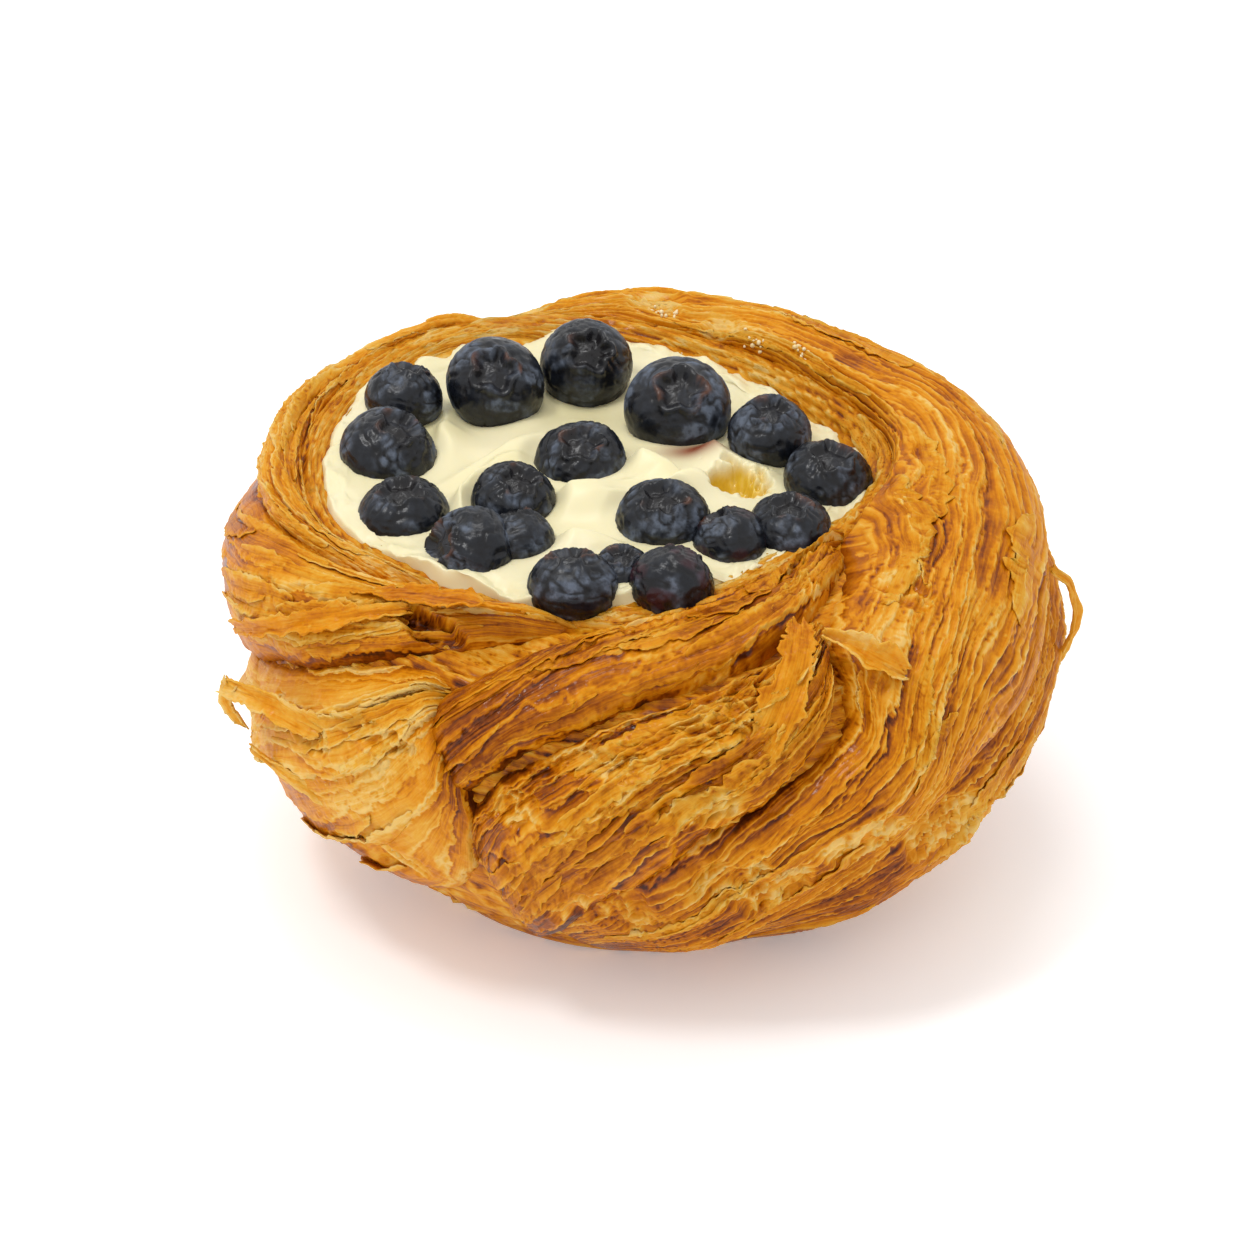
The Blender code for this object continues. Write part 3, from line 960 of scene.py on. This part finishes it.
@dataclass(frozen=True)
class SugarGrains:
    """Pale grains of baked sugar on a rope, in groups of (share along, share across, spread in mm)."""

    rope: Rope = SHOULDER
    groups: tuple[tuple[float, float, float], ...] = (
        (0.13, 0.35, 1.8), (0.19, 0.16, 1.2), (0.23, 0.22, 1.2),
    )
    grains: int = 11
    size_mm: tuple[float, float] = (0.20, 0.42)

    def build(self) -> bpy.types.Object:
        """Scatters the grains.

        Returns:
            All the grains as one object.
        """
        chance = np.random.default_rng(31)
        long, wide = self.rope.lengths()
        made = []
        for along, across, spread in self.groups:
            for _ in range(self.grains):
                grain = primitive("ico_sphere", "grain", subdivisions=1, radius=1.0)
                here = along + chance.normal(0, spread / long), across + chance.normal(0, spread / wide)
                across_here = np.clip(here[1], 0.05, 0.95)
                place, _ = self.rope.surface(np.array([here[0]]), np.array([across_here]), 0.1)
                size = chance.uniform(*self.size_mm) * MM * chance.uniform(0.7, 1.3, 3)
                move_points(grain, points_of(grain) * size + place)
                made.append(grain)
        whole = join(made, "sugar_grains")
        close_seams(whole)
        return whole


# ---- Cream ----


@dataclass(frozen=True)
class BerryPlace:
    """Where one blueberry sits, in millimetres, and which way its crown faces, in degrees."""

    name: str
    x: float
    y: float
    z: float
    diameter: float
    turn: float
    rise: float
    flatness: float
    bloom: float = 0.5
    wrinkle: float = 1.0
    blush: float = 0.0


BERRIES = tuple(BerryPlace(*row) for row in (
    ("back_left", -35.8, 22.2, 61.0, 11.6, 60, 72, 0.94, 0.5),
    ("left", -37.6, 8.6, 59.3, 14.8, 330, 66, 0.86, 0.8),
    ("left_front", -34.7, -8.3, 57.9, 13.6, 250, 80, 0.84, 0.4),
    ("back_big", -22.2, 23.8, 62.9, 14.8, 272, 46, 0.94, 0.7, 0.7),
    ("back_middle", -8.8, 30.2, 62.8, 14.0, 280, 48, 0.94, 0.25),
    ("right_big", 4.8, 17.6, 62.0, 16.0, 276, 56, 0.88, 0.9, 0.6),
    ("right_back", 18.3, 11.1, 61.0, 12.6, 265, 76, 0.92, 0.6),
    ("right_edge", 26.4, 0.6, 59.0, 13.2, 300, 74, 0.86, 0.4),
    ("right_front", 20.4, -14.2, 59.0, 12.4, 280, 80, 0.84, 0.5),
    ("tucked_right", 12.0, -17.4, 58.6, 11.2, 150, 60, 0.90, 0.5, 1.0, 0.5),
    ("centre_right", 2.4, -11.9, 59.3, 13.5, 275, 70, 0.84, 0.6),
    ("centre", -9.4, 5.1, 59.6, 13.6, 275, 66, 0.80, 0.6),
    ("centre_left", -19.0, -7.0, 60.0, 12.2, 300, 66, 0.86, 0.5),
    ("front_left", -24.8, -19.6, 58.2, 14.2, 200, 30, 0.84, 0.8, 1.5),
    ("tucked_left", -18.2, -17.0, 58.4, 11.0, 120, 62, 0.90, 0.3),
    ("front", -10.2, -29.6, 58.6, 12.9, 110, 76, 0.84, 0.6),
    ("tucked_front", -3.4, -25.4, 58.2, 9.4, 270, 78, 0.86, 0.4),
    ("front_right", 3.6, -29.4, 58.6, 12.6, 60, 40, 0.88, 0.6, 1.3, 0.8),
))


@dataclass(frozen=True)
class CreamPool:
    """The spread cream, with its knife waves, its edge against the crust and one torn hollow."""

    segments: int = 400
    rings: int = 228
    depth: float = 0.013
    edge_drop_mm: float = 2.4
    pit_mm: float = 3.6
    pit_half_mm: tuple[float, float] = (6.0, 4.4)
    hollow: tuple[float, float] = (0.0125, 0.0010)
    waves: tuple[tuple[float, float, float, float, float], ...] = (
        # x, y, direction in degrees, height and width, in millimetres
        (-26.0, -4.0, 62.0, 1.0, 2.6), (-20.0, 8.0, 40.0, 0.9, 3.0), (-10.0, -6.0, 12.0, 1.1, 3.2),
        (-2.0, 4.0, -14.0, 1.2, 2.6), (6.0, -2.0, 24.0, 0.9, 2.2), (-30.0, 14.0, 80.0, 0.8, 2.6),
        (-12.0, -18.0, 8.0, 0.8, 2.8), (12.0, 8.0, -30.0, 0.8, 2.2), (22.0, -6.0, 55.0, 0.6, 2.4),
    )

    def height_mm(self, x: Array, y: Array) -> tuple[Array, Array, Array]:
        """The cream's height over its level, and where it is torn and where it is yellow.

        Args:
            x: millimetres.
            y: millimetres.

        Returns:
            Heights in millimetres, the torn share and the yellow share.
        """
        away = np.hypot(x + 7, y - 5)
        high = 1.2 * (1 - (away / 40) ** 2) + 0.55 * rough(x / 10, y / 8, 70, 2)
        folds = np.zeros_like(high)
        for k, (wx, wy, turn, tall, wide) in enumerate(self.waves):
            way = math.radians(turn)
            run = (x - wx) * math.cos(way) + (y - wy) * math.sin(way)
            bow = 0.05 * run * run * (0.4 - (k % 3) * 0.4)
            off = -(x - wx) * math.sin(way) + (y - wy) * math.cos(way) + bow
            off = off + 0.8 * rough(run / 9, run * 0, 71 + k, 2)
            shape = np.exp(-((off / np.where(off > 0, 0.45 * wide, 1.5 * wide)) ** 2))
            folds = folds + tall * shape * np.exp(-((run / 9.0) ** 2))
        hx, hy = self.hollow[0] / MM, self.hollow[1] / MM
        pit_x, pit_y = (x - hx) / self.pit_half_mm[0], (y - hy) / self.pit_half_mm[1]
        rim = np.hypot(pit_x, pit_y) + 0.42 * rough(x / 2.6, y / 2.6, 80, 3)
        torn = 1 - smooth_step(0.40, 1.06, rim)
        juice = np.exp(-(((x - 7.5) / 5.0) ** 2) - ((y - 8.6) / 1.8) ** 2)
        pit = -self.pit_mm * torn + 1.1 * rough(x / 2.4, y / 1.8, 81) * torn
        gap = np.full_like(high, 99.0)
        for berry in BERRIES:
            gap = np.minimum(gap, np.hypot(x - berry.x, y - berry.y) - berry.diameter / 2 * 0.93)
        calm = smooth_step(-0.5, 3.0, gap) * (1 - torn)
        return high + 3.0 * folds * calm + pit + 0.5 * np.exp(-((gap / 1.4) ** 2)) * (gap > -3), torn, juice

    def build(self) -> bpy.types.Object:
        """Shapes a sphere into the pool of cream.

        Returns:
            The cream as a closed mesh.
        """
        piece = primitive("uv_sphere", "cream_pool", segments=self.segments, ring_count=self.rings,
                          radius=1.0)
        ball = points_of(piece)
        theta = np.degrees(np.arctan2(ball[:, 1], ball[:, 0]))
        lat = np.degrees(np.arcsin(np.clip(ball[:, 2], -1, 1)))
        top = lat > -60
        share = np.where(top, 1 - (lat + 60) / 150, (lat + 90) / 30)
        outline = SHAPE.crater_radius(theta) / MM + 0.9 + 2.0 * hump(theta % 360, 236, 34)
        outline = outline + 1.2 * rough(ball[:, 0] * 7, ball[:, 1] * 7, 90, 3)
        reach = outline * np.clip(share, 0, 1) ** 0.8
        way = np.radians(theta)
        x, y = reach * np.cos(way), reach * np.sin(way)
        high, torn, juice = self.height_mm(x, y)
        near = np.clip(share, 0, 1) ** 0.8
        climb = 2.4 * np.clip(cos_of(theta - 115), 0, 1) ** 0.8 + 0.2
        edge = smooth_step(0.975, 1.0, near)
        lap = 0.9 * rough(x / 3.2, y / 3.2, 91) * hump(near, 0.96, 0.05)
        high = high + climb * smooth_step(0.74, 0.96, near) + lap
        level = SHAPE.cream_level / MM
        z = level + high - self.edge_drop_mm * edge**1.5
        z = np.where(top, z, level - self.edge_drop_mm - (self.depth / MM) * (1 - share))
        move_points(piece, np.stack([x, y, z], -1) * MM)
        paint(piece, "torn", np.where(top, smooth_step(0.02, 0.55, torn), 0))
        paint(piece, "juice", np.where(top, juice, 0))
        close_seams(piece)
        return piece


# ---- Blueberries ----


@dataclass(frozen=True)
class Blueberry:
    """One ripe berry with a lobed crown and slack, wrinkled skin."""

    place: BerryPlace
    segments: int = 104
    rings: int = 66
    crown_at: float = 25.0
    lobes: int = 5
    crown_depth: float = 0.21
    crease_turns: float = 7.5

    def build(self, salt: float) -> bpy.types.Object:
        """Shapes a sphere into the berry and turns it into its place.

        Args:
            salt: makes each berry different.

        Returns:
            The berry as a closed mesh, with its bloom and its crown stored on it.
        """
        spot = self.place
        piece = primitive("uv_sphere", f"berry_{spot.name}_skin", segments=self.segments,
                          ring_count=self.rings,
                          radius=1.0)
        ball = points_of(piece)
        azimuth = np.arctan2(ball[:, 1], ball[:, 0])
        polar = np.degrees(np.arccos(np.clip(ball[:, 2], -1, 1)))
        uneven = space(ball, 1.3, salt) - 0.5
        twist = azimuth + 0.5 * uneven
        star = self.crown_at + 4.0 * np.cos(self.lobes * twist) + 3.0 * (space(ball, 4.0, salt + 1) - 0.5)
        inside = 1 - smooth_step(star - 5, star + 1, polar)
        reach = 1 + 0.10 * uneven
        lip = 0.060 * hump(polar - star, 2.5, 4.0)
        reach = reach - self.crown_depth * inside + 0.05 * hump(polar, 0, 7) + lip
        slack = spot.wrinkle * (1 - inside) * (1 - 0.75 * smooth_step(55, 100, polar))
        wound = azimuth * self.crease_turns + 2.4 * (space(ball, 2.2, salt + 2) - 0.5) * 3
        crease = np.abs(np.sin(wound + 0.03 * polar)) ** 0.5
        reach = reach - 0.030 * slack * (1 - crease)
        folds = np.abs(2 * space(ball, 3.6, salt + 3) - 1)
        reach = reach - 0.022 * spot.wrinkle * (1 - smooth_step(0.0, 0.20, folds)) * (1 - inside)
        fine = np.abs(2 * space(ball, 8.5, salt + 4) - 1)
        reach = reach - 0.016 * spot.wrinkle * (1 - smooth_step(0.0, 0.26, fine))
        grown = ball * reach[:, None] * (spot.diameter / 2)
        grown[:, 2] *= spot.flatness
        flat = math.cos(math.radians(spot.rise))
        axis = Vector((flat * math.cos(math.radians(spot.turn)), flat * math.sin(math.radians(spot.turn)),
                       math.sin(math.radians(spot.rise))))
        turned = np.array(axis.to_track_quat("Z", "Y").to_matrix()) @ grown.T
        places = turned.T + np.array([spot.x, spot.y, spot.z])
        move_points(piece, places * MM)
        patches = smooth_step(0.42, 0.68, space(ball, 2.4, salt + 5)) * (0.5 + space(ball, 9, salt + 6))
        paint(piece, "bloom", np.clip(spot.bloom * patches * (1 - 0.7 * inside), 0, 1))
        rim = hump(polar - star, 1.5, 4.0)
        paint(piece, "crown", np.clip(inside + 0.4 * rim, 0, 1))
        dried = smooth_step(0.55, 0.75, space(ball, 3.5, salt + 8))
        paint(piece, "sepal", hump(polar - star, 2.0, 2.4) * dried)
        paint(piece, "blush", spot.blush * smooth_step(0.45, 0.65, space(ball, 2.0, salt + 9)))
        # The crease mask marks the wrinkle valleys, where the finish paints shade.
        paint(piece, "crease",
              np.clip(1 - smooth_step(0.0, 0.25, folds) + slack * (1 - crease) * 0.8, 0, 1))
        close_seams(piece)
        return piece


# ---- Finishes ----


@dataclass
class Recipe:
    """A material's node tree while it is being made."""

    tree: bpy.types.NodeTree
    column: int = 0

    def node(self, kind: str, **settings: object) -> bpy.types.Node:
        """Adds a node.

        Args:
            kind: the node's type.
            settings: its properties.

        Returns:
            The node.
        """
        made = self.tree.nodes.new(kind)
        made.location = (self.column * 180, 0)
        self.column += 1
        for key, value in settings.items():
            setattr(made, key, value)
        return made

    def link(self, source: bpy.types.NodeSocket, target: bpy.types.NodeSocket) -> None:
        """Joins two sockets."""
        self.tree.links.new(source, target)

    def attribute(self, name: str) -> bpy.types.NodeSocket:
        """The number stored on the piece under that name."""
        return self.node("ShaderNodeAttribute", attribute_name=name).outputs["Fac"]

    def math(self, operation: str, first: object, second: object) -> bpy.types.NodeSocket:
        """A sum of two sockets or numbers.

        Args:
            operation: the Math node's operation.
            first: a socket or a number.
            second: a socket or a number.

        Returns:
            The result's socket.
        """
        made = self.node("ShaderNodeMath", operation=operation)
        for k, value in enumerate((first, second)):
            if isinstance(value, (int, float)):
                made.inputs[k].default_value = value
            else:
                self.link(value, made.inputs[k])
        return made.outputs[0]

    def point(self, x: bpy.types.NodeSocket, y: bpy.types.NodeSocket) -> bpy.types.NodeSocket:
        """A place in a plane.

        Args:
            x: its first number.
            y: its second number.

        Returns:
            The place's socket.
        """
        made = self.node("ShaderNodeCombineXYZ")
        self.link(x, made.inputs["X"])
        self.link(y, made.inputs["Y"])
        return made.outputs["Vector"]

    def noise(self, where: bpy.types.NodeSocket, scale: float, detail: float = 3.0) -> bpy.types.NodeSocket:
        """A noise texture's value.

        Args:
            where: coordinates.
            scale: bumps for each metre.
            detail: how many finer layers.

        Returns:
            The value's socket.
        """
        made = self.node("ShaderNodeTexNoise")
        settle(made, Scale=scale, Detail=detail)
        self.link(where, made.inputs["Vector"])
        return made.outputs["Fac"]

    def ramp(self, value: bpy.types.NodeSocket,
             stops: tuple[tuple[float, Colour], ...]) -> bpy.types.NodeSocket:
        """A colour ramp.

        Args:
            value: what is read.
            stops: places and linear colours.

        Returns:
            The colour's socket.
        """
        made = self.node("ShaderNodeValToRGB")
        band = made.color_ramp
        while len(band.elements) < len(stops):
            band.elements.new(0.5)
        for element, (place, colour) in zip(band.elements, stops):
            element.position = place
            element.color = (*colour, 1.0)
        self.link(value, made.inputs["Fac"])
        return made.outputs["Color"]

    def bump(self, height: bpy.types.NodeSocket, strength: float, deep_mm: float,
             shader: bpy.types.Node) -> None:
        """Tilts the shader's surface by a height.

        Args:
            height: the height's socket.
            strength: how much of the tilt is used, 0 to 1.
            deep_mm: how far a height of 1 stands out.
            shader: the shader.
        """
        made = self.node("ShaderNodeBump")
        settle(made, Strength=strength, Distance=deep_mm * MM)
        self.link(height, made.inputs["Height"])
        self.link(made.outputs["Normal"], shader.inputs["Normal"])

    def mix(self, share: bpy.types.NodeSocket, first: object, second: object) -> bpy.types.NodeSocket:
        """A blend of two colours.

        Args:
            share: how much of the second.
            first: a socket or a linear colour.
            second: a socket or a linear colour.

        Returns:
            The blend's socket.
        """
        made = self.node("ShaderNodeMix", data_type="RGBA")
        self.link(share, made.inputs["Factor"])
        for key, value in (("A", first), ("B", second)):
            socket = next(s for s in made.inputs if s.name == key and s.type == "RGBA")
            if isinstance(value, tuple):
                socket.default_value = (*value, 1.0)
            else:
                self.link(value, socket)
        return next(s for s in made.outputs if s.type == "RGBA")


def settle(node: bpy.types.Node, **values: object) -> None:
    """Sets the node's inputs; the spaces in their names are written as underscores."""
    for key, value in values.items():
        node.inputs[key.replace("_", " ")].default_value = value


def new_finish(name: str) -> tuple[bpy.types.Material, Recipe, bpy.types.Node]:
    """Starts a material.

    Args:
        name: its name.

    Returns:
        The material, its recipe and its shader.
    """
    made = bpy.data.materials.new(name)
    made.use_nodes = True
    return made, Recipe(made.node_tree), made.node_tree.nodes["Principled BSDF"]


GroupParts = tuple[Recipe, bpy.types.Node, bpy.types.Node]


def new_group(name: str, inputs: dict[str, float], outputs: dict[str, str]) -> GroupParts:
    """Starts a shader node group.

    Args:
        name: its name.
        inputs: names and first values of its number inputs.
        outputs: names and socket types of its outputs.

    Returns:
        The recipe, the group's input node and its output node.
    """
    tree = bpy.data.node_groups.new(name, "ShaderNodeTree")
    for key, value in inputs.items():
        tree.interface.new_socket(key, in_out="INPUT", socket_type="NodeSocketFloat").default_value = value
    for key, kind in outputs.items():
        tree.interface.new_socket(key, in_out="OUTPUT", socket_type=kind)
    recipe = Recipe(tree)
    start = recipe.node("NodeGroupInput")
    return recipe, start, recipe.node("NodeGroupOutput")


def baked_skin_group() -> bpy.types.NodeTree:
    """The skin that all dough finishes share: fine strands along the layers, blotches, grain and open pits.

    Returns:
        The group, whose outputs are the tone, 0 pale to 1 dark, and the height.
    """
    recipe, start, end = new_group("baked_skin", {"Brown": 0.5, "Spots": 0.5, "Strands": 0.5},
                                   {"Tone": "NodeSocketFloat", "Height": "NodeSocketFloat"})
    where = recipe.node("ShaderNodeTexCoord").outputs["Object"]
    blotch = recipe.noise(where, 210.0, 4.0)
    grain = recipe.noise(where, 1500.0, 3.0)
    along, across = recipe.attribute("along"), recipe.attribute("across")
    strand = recipe.point(recipe.math("MULTIPLY", along, 0.085), recipe.math("MULTIPLY", across, 2.3))
    hair = recipe.noise(strand, 1.0)
    hair = recipe.math("SUBTRACT", recipe.math("ABSOLUTE", recipe.math("SUBTRACT", hair, 0.5), 0.0), 0.09)
    crumb = recipe.attribute("crumb")
    cells = recipe.node("ShaderNodeTexVoronoi")
    recipe.link(recipe.point(recipe.math("MULTIPLY", along, 0.85), recipe.math("MULTIPLY", across, 1.25)),
                cells.inputs["Vector"])
    settle(cells, Scale=1.0)
    pit = recipe.math("SUBTRACT", 0.42, recipe.math("MINIMUM", cells.outputs["Distance"], 0.42))
    pit = recipe.math("MULTIPLY", pit, crumb)
    beads = recipe.node("ShaderNodeTexVoronoi")
    recipe.link(where, beads.inputs["Vector"])
    settle(beads, Scale=620.0)
    bead = recipe.math("MAXIMUM", recipe.math("SUBTRACT", 0.26, beads.outputs["Distance"]), 0.0)
    bead = recipe.math("MULTIPLY", bead, recipe.math("MAXIMUM", recipe.math("SUBTRACT", blotch, 0.45), 0.0))
    tone = recipe.math("ADD", start.outputs["Brown"],
                       recipe.math("MULTIPLY", recipe.math("SUBTRACT", blotch, 0.5),
                                   start.outputs["Spots"]))
    tone = recipe.math("ADD", tone, recipe.math("MULTIPLY", recipe.math("SUBTRACT", grain, 0.5), 0.22))
    tone = recipe.math("ADD", tone, recipe.math("MULTIPLY", hair, start.outputs["Strands"]))
    tone = recipe.math("ADD", tone, recipe.math("MULTIPLY", pit, 0.75))
    tone = recipe.math("SUBTRACT", tone, recipe.math("MULTIPLY", bead, 5.0))
    recipe.link(recipe.math("SUBTRACT", tone, recipe.math("MULTIPLY", crumb, 0.10)), end.inputs["Tone"])
    height = recipe.math("ADD", recipe.math("MULTIPLY", grain, 0.22), recipe.math("MULTIPLY", hair, -1.6))
    height = recipe.math("ADD", height, recipe.math("MULTIPLY", bead, 26.0))
    recipe.link(recipe.math("SUBTRACT", height, recipe.math("MULTIPLY", pit, 3.5)), end.inputs["Height"])
    return recipe.tree


@dataclass(frozen=True)
class BakedDough:
    """The crust's finish: pale layers, golden skin and brown, glazed ridges."""

    name: str
    stops: tuple[tuple[float, Colour], ...] = (
        (0.02, (0.70, 0.45, 0.13)), (0.20, (0.67, 0.335, 0.036)), (0.42, (0.61, 0.225, 0.005)),
        (0.60, (0.45, 0.132, 0.0015)), (0.80, (0.22, 0.046, 0.0006)), (1.0, (0.055, 0.008, 0.0003)),
    )
    roughness: float = 0.46
    glaze: float = 0.30
    spots: float = 0.45
    strands: float = 0.8
    bump_mm: float = 0.16

    def make(self, skin: bpy.types.NodeTree) -> bpy.types.Material:
        """Makes the material.

        Args:
            skin: the baked skin's node group.

        Returns:
            The material.
        """
        made, recipe, shader = new_finish(self.name)
        group = recipe.node("ShaderNodeGroup", node_tree=skin)
        settle(group, Spots=self.spots, Strands=self.strands)
        recipe.link(recipe.attribute("brown"), group.inputs["Brown"])
        tone = group.outputs["Tone"]
        recipe.link(recipe.ramp(tone, self.stops), shader.inputs["Base Color"])
        glazed = recipe.math("MULTIPLY", recipe.math("SUBTRACT", tone, 0.35), self.glaze * 2)
        coat = recipe.math("MAXIMUM", recipe.math("MINIMUM", glazed, 0.34), 0.10)
        recipe.link(coat, shader.inputs["Coat Weight"])
        recipe.link(recipe.math("SUBTRACT", self.roughness + 0.10, recipe.math("MULTIPLY", tone, 0.22)),
                    shader.inputs["Roughness"])
        recipe.bump(group.outputs["Height"], 0.7, self.bump_mm, shader)
        settle(shader, Specular_IOR_Level=0.05, Coat_Roughness=0.14, Subsurface_Weight=0.12,
               Subsurface_Radius=(1.0, 0.45, 0.12), Subsurface_Scale=0.0015)
        return made


@dataclass(frozen=True)
class BakedSugar:
    """Pale, slightly clear sugar."""

    name: str = "baked_sugar"
    stops: tuple[tuple[float, Colour], ...] = ((0.3, (0.86, 0.74, 0.50)), (0.7, (0.78, 0.56, 0.24)))

    def make(self) -> bpy.types.Material:
        """Makes the material.

        Returns:
            The material.
        """
        made, recipe, shader = new_finish(self.name)
        where = recipe.node("ShaderNodeTexCoord").outputs["Object"]
        recipe.link(recipe.ramp(recipe.noise(where, 600.0), self.stops), shader.inputs["Base Color"])
        settle(shader, Roughness=0.35)
        return made


@dataclass(frozen=True)
class FreshCream:
    """Smooth, glossy cream, with yellow custard where it is torn and berry juice beside one berry."""

    name: str = "fresh_cream"
    colour: Colour = (0.83, 0.755, 0.53)
    shade: Colour = (0.76, 0.68, 0.35)
    custard: Colour = (0.70, 0.45, 0.035)
    juice: Colour = (0.22, 0.05, 0.02)

    def make(self) -> bpy.types.Material:
        """Makes the material.

        Returns:
            The material.
        """
        made, recipe, shader = new_finish(self.name)
        where = recipe.node("ShaderNodeTexCoord").outputs["Object"]
        cloud = recipe.noise(where, 70.0, 2.0)
        base = recipe.mix(cloud, self.colour, self.shade)
        torn = recipe.mix(recipe.attribute("torn"), base, self.custard)
        recipe.link(recipe.mix(recipe.attribute("juice"), torn, self.juice), shader.inputs["Base Color"])
        recipe.link(recipe.math("SUBTRACT", 0.34, recipe.math("MULTIPLY", recipe.attribute("torn"), 0.16)),
                    shader.inputs["Roughness"])
        recipe.bump(recipe.noise(where, 420.0, 2.0), 0.25, 0.05, shader)
        settle(shader, Subsurface_Weight=0.2, Subsurface_Radius=(1.0, 0.8, 0.45), Subsurface_Scale=0.0022)
        return made


@dataclass(frozen=True)
class BerrySkin:
    """Blue-black skin under a patchy grey bloom, brown at the crown's tips, with painted shade in its
    wrinkle valleys.
    """

    name: str = "berry_skin"
    skin: Colour = (0.0035, 0.0045, 0.0078)
    bloom: Colour = (0.100, 0.120, 0.160)
    # Painted shade colour for the wrinkle valleys.
    crease: Colour = (0.0040, 0.0040, 0.0055)
    crown: Colour = (0.014, 0.012, 0.012)
    sepal: Colour = (0.085, 0.030, 0.014)
    blush: Colour = (0.036, 0.007, 0.011)

    def make(self) -> bpy.types.Material:
        """Makes the material.

        Returns:
            The material.
        """
        made, recipe, shader = new_finish(self.name)
        where = recipe.node("ShaderNodeTexCoord").outputs["Object"]
        speck = recipe.math("MULTIPLY", recipe.math("POWER", recipe.noise(where, 900.0, 6.0), 3.0), 5.0)
        dust = recipe.math("MULTIPLY", speck,
                           recipe.math("ADD", recipe.math("MULTIPLY", recipe.attribute("bloom"), 1.6),
                                       0.06))
        coloured = recipe.mix(recipe.math("MINIMUM", dust, 1.0), self.skin, self.bloom)
        coloured = recipe.mix(recipe.attribute("blush"), coloured, self.blush)
        # Painted shade: the wrinkle valleys lose their bloom and are darkened.
        crease_shaded = recipe.mix(recipe.attribute("crease"), coloured, self.crease)
        crowned = recipe.mix(recipe.math("MULTIPLY", recipe.attribute("crown"), 0.7), crease_shaded, self.crown)
        recipe.link(recipe.mix(recipe.attribute("sepal"), crowned, self.sepal), shader.inputs["Base Color"])
        recipe.link(recipe.math("ADD", 0.27, recipe.math("MULTIPLY", dust, 0.40)),
                    shader.inputs["Roughness"])
        settle(shader, Specular_IOR_Level=0.36)
        recipe.bump(recipe.noise(where, 900.0, 4.0), 0.5, 0.18, shader)
        return made


# ---- Studio ----


@dataclass(frozen=True)
class Studio:
    """A pale floor, soft white lamps and the camera."""

    elevation: float = 30.0
    distance: float = 0.750
    aim: tuple[float, float, float] = (-0.00265, 0.0, 0.035)
    lens: float = 146.2
    sensor: float = 36.0
    near: float = 0.05
    far: float = 20.0
    sky: float = 0.92
    lamps: tuple[tuple[str, tuple[float, float, float], float, float], ...] = (
        ("key", (-0.50, -0.30, 1.20), 0.28, 4.6),
        ("top", (-0.05, 0.20, 1.35), 0.50, 3.2),
    )

    def camera(self) -> None:
        """Sets up the camera."""
        tilt = math.radians(self.elevation)
        data = bpy.data.cameras.new("camera")
        data.lens, data.sensor_width = self.lens, self.sensor
        data.clip_start, data.clip_end = self.near, self.far
        camera = bpy.data.objects.new("camera", data)
        camera.location = Vector(self.aim) + self.distance * Vector((0, -math.cos(tilt), math.sin(tilt)))
        camera.rotation_euler = (math.pi / 2 - tilt, 0.0, 0.0)
        bpy.context.scene.collection.objects.link(camera)
        bpy.context.scene.camera = camera

    def lamp(self, name: str, place: tuple[float, float, float], size: float, watts: float) -> None:
        """Adds one soft white area lamp that faces the object.

        Args:
            name: its name.
            place: where it stands, in metres.
            size: its side, in metres.
            watts: its power.
        """
        data = bpy.data.lights.new(name, "AREA")
        data.shape, data.size, data.energy, data.color = "DISK", size, watts, (1.0, 1.0, 1.0)
        lamp = bpy.data.objects.new(name, data)
        lamp.location = place
        lamp.rotation_euler = (Vector(self.aim) - Vector(place)).to_track_quat("-Z", "Y").to_euler()
        bpy.context.scene.collection.objects.link(lamp)

    def floor(self) -> None:
        """Lays the pale floor."""
        floor = primitive("plane", "studio_floor", size=6.0, location=(0, 0, 0))
        pale, _, shader = new_finish("pale_floor")
        settle(shader, Base_Color=(0.95, 0.965, 0.98, 1.0), Roughness=0.8,
               Emission_Color=(1.0, 1.0, 1.0, 1.0),
               Emission_Strength=0.20, Specular_IOR_Level=0.1)
        floor.data.materials.append(pale)

    def build(self) -> None:
        """Sets up the whole studio."""
        scene = bpy.context.scene
        scene.view_settings.view_transform = "Standard"
        world = bpy.data.worlds.new("soft_sky")
        world.use_nodes = True
        settle(world.node_tree.nodes["Background"], Color=(1.0, 1.0, 1.0, 1.0), Strength=self.sky)
        scene.world = world
        self.camera()
        self.floor()
        for lamp in self.lamps:
            self.lamp(*lamp)


# ---- The whole ----


@dataclass
class DanishPastry:
    """The pastry with its cream and berries."""

    ropes: tuple[Rope, ...] = ROPES
    flakes: tuple[Flake, ...] = FLAKES
    core: DoughCore = field(default_factory=DoughCore)
    cream: CreamPool = field(default_factory=CreamPool)

    def dough(self) -> None:
        """Builds and dresses the dough."""
        skin = baked_skin_group()
        crust = BakedDough("baked_crust").make(skin)
        thin = BakedDough("thin_layers", glaze=0.15, spots=0.45, roughness=0.50).make(skin)
        finish_piece(self.core.build(), Slot.PASTRY, crust, "pastry")
        for rope in self.ropes:
            finish_piece(rope.build(), Slot.PASTRY, crust, "pastry")
            finish_piece(leaves_of(rope), Slot.PASTRY, thin, "pastry")
        for flake in self.flakes:
            finish_piece(flake.build(), Slot.PASTRY, thin, "pastry")
        finish_piece(SugarGrains().build(), Slot.PASTRY, BakedSugar().make(), "pastry")

    def filling(self) -> None:
        """Builds and dresses the cream and the berries."""
        finish_piece(self.cream.build(), Slot.CREAM, FreshCream().make(), "cream")
        skin = BerrySkin().make()
        for k, place in enumerate(BERRIES):
            finish_piece(Blueberry(place).build(k * 1.7 + 3), Slot.BERRY, skin, f"berry_{place.name}")


def main() -> None:
    """Builds the scene."""
    logging.basicConfig(level=logging.INFO, format="%(message)s")
    Studio().build()
    pastry = DanishPastry()
    pastry.dough()
    pastry.filling()


if __name__ == "__main__":
    main()
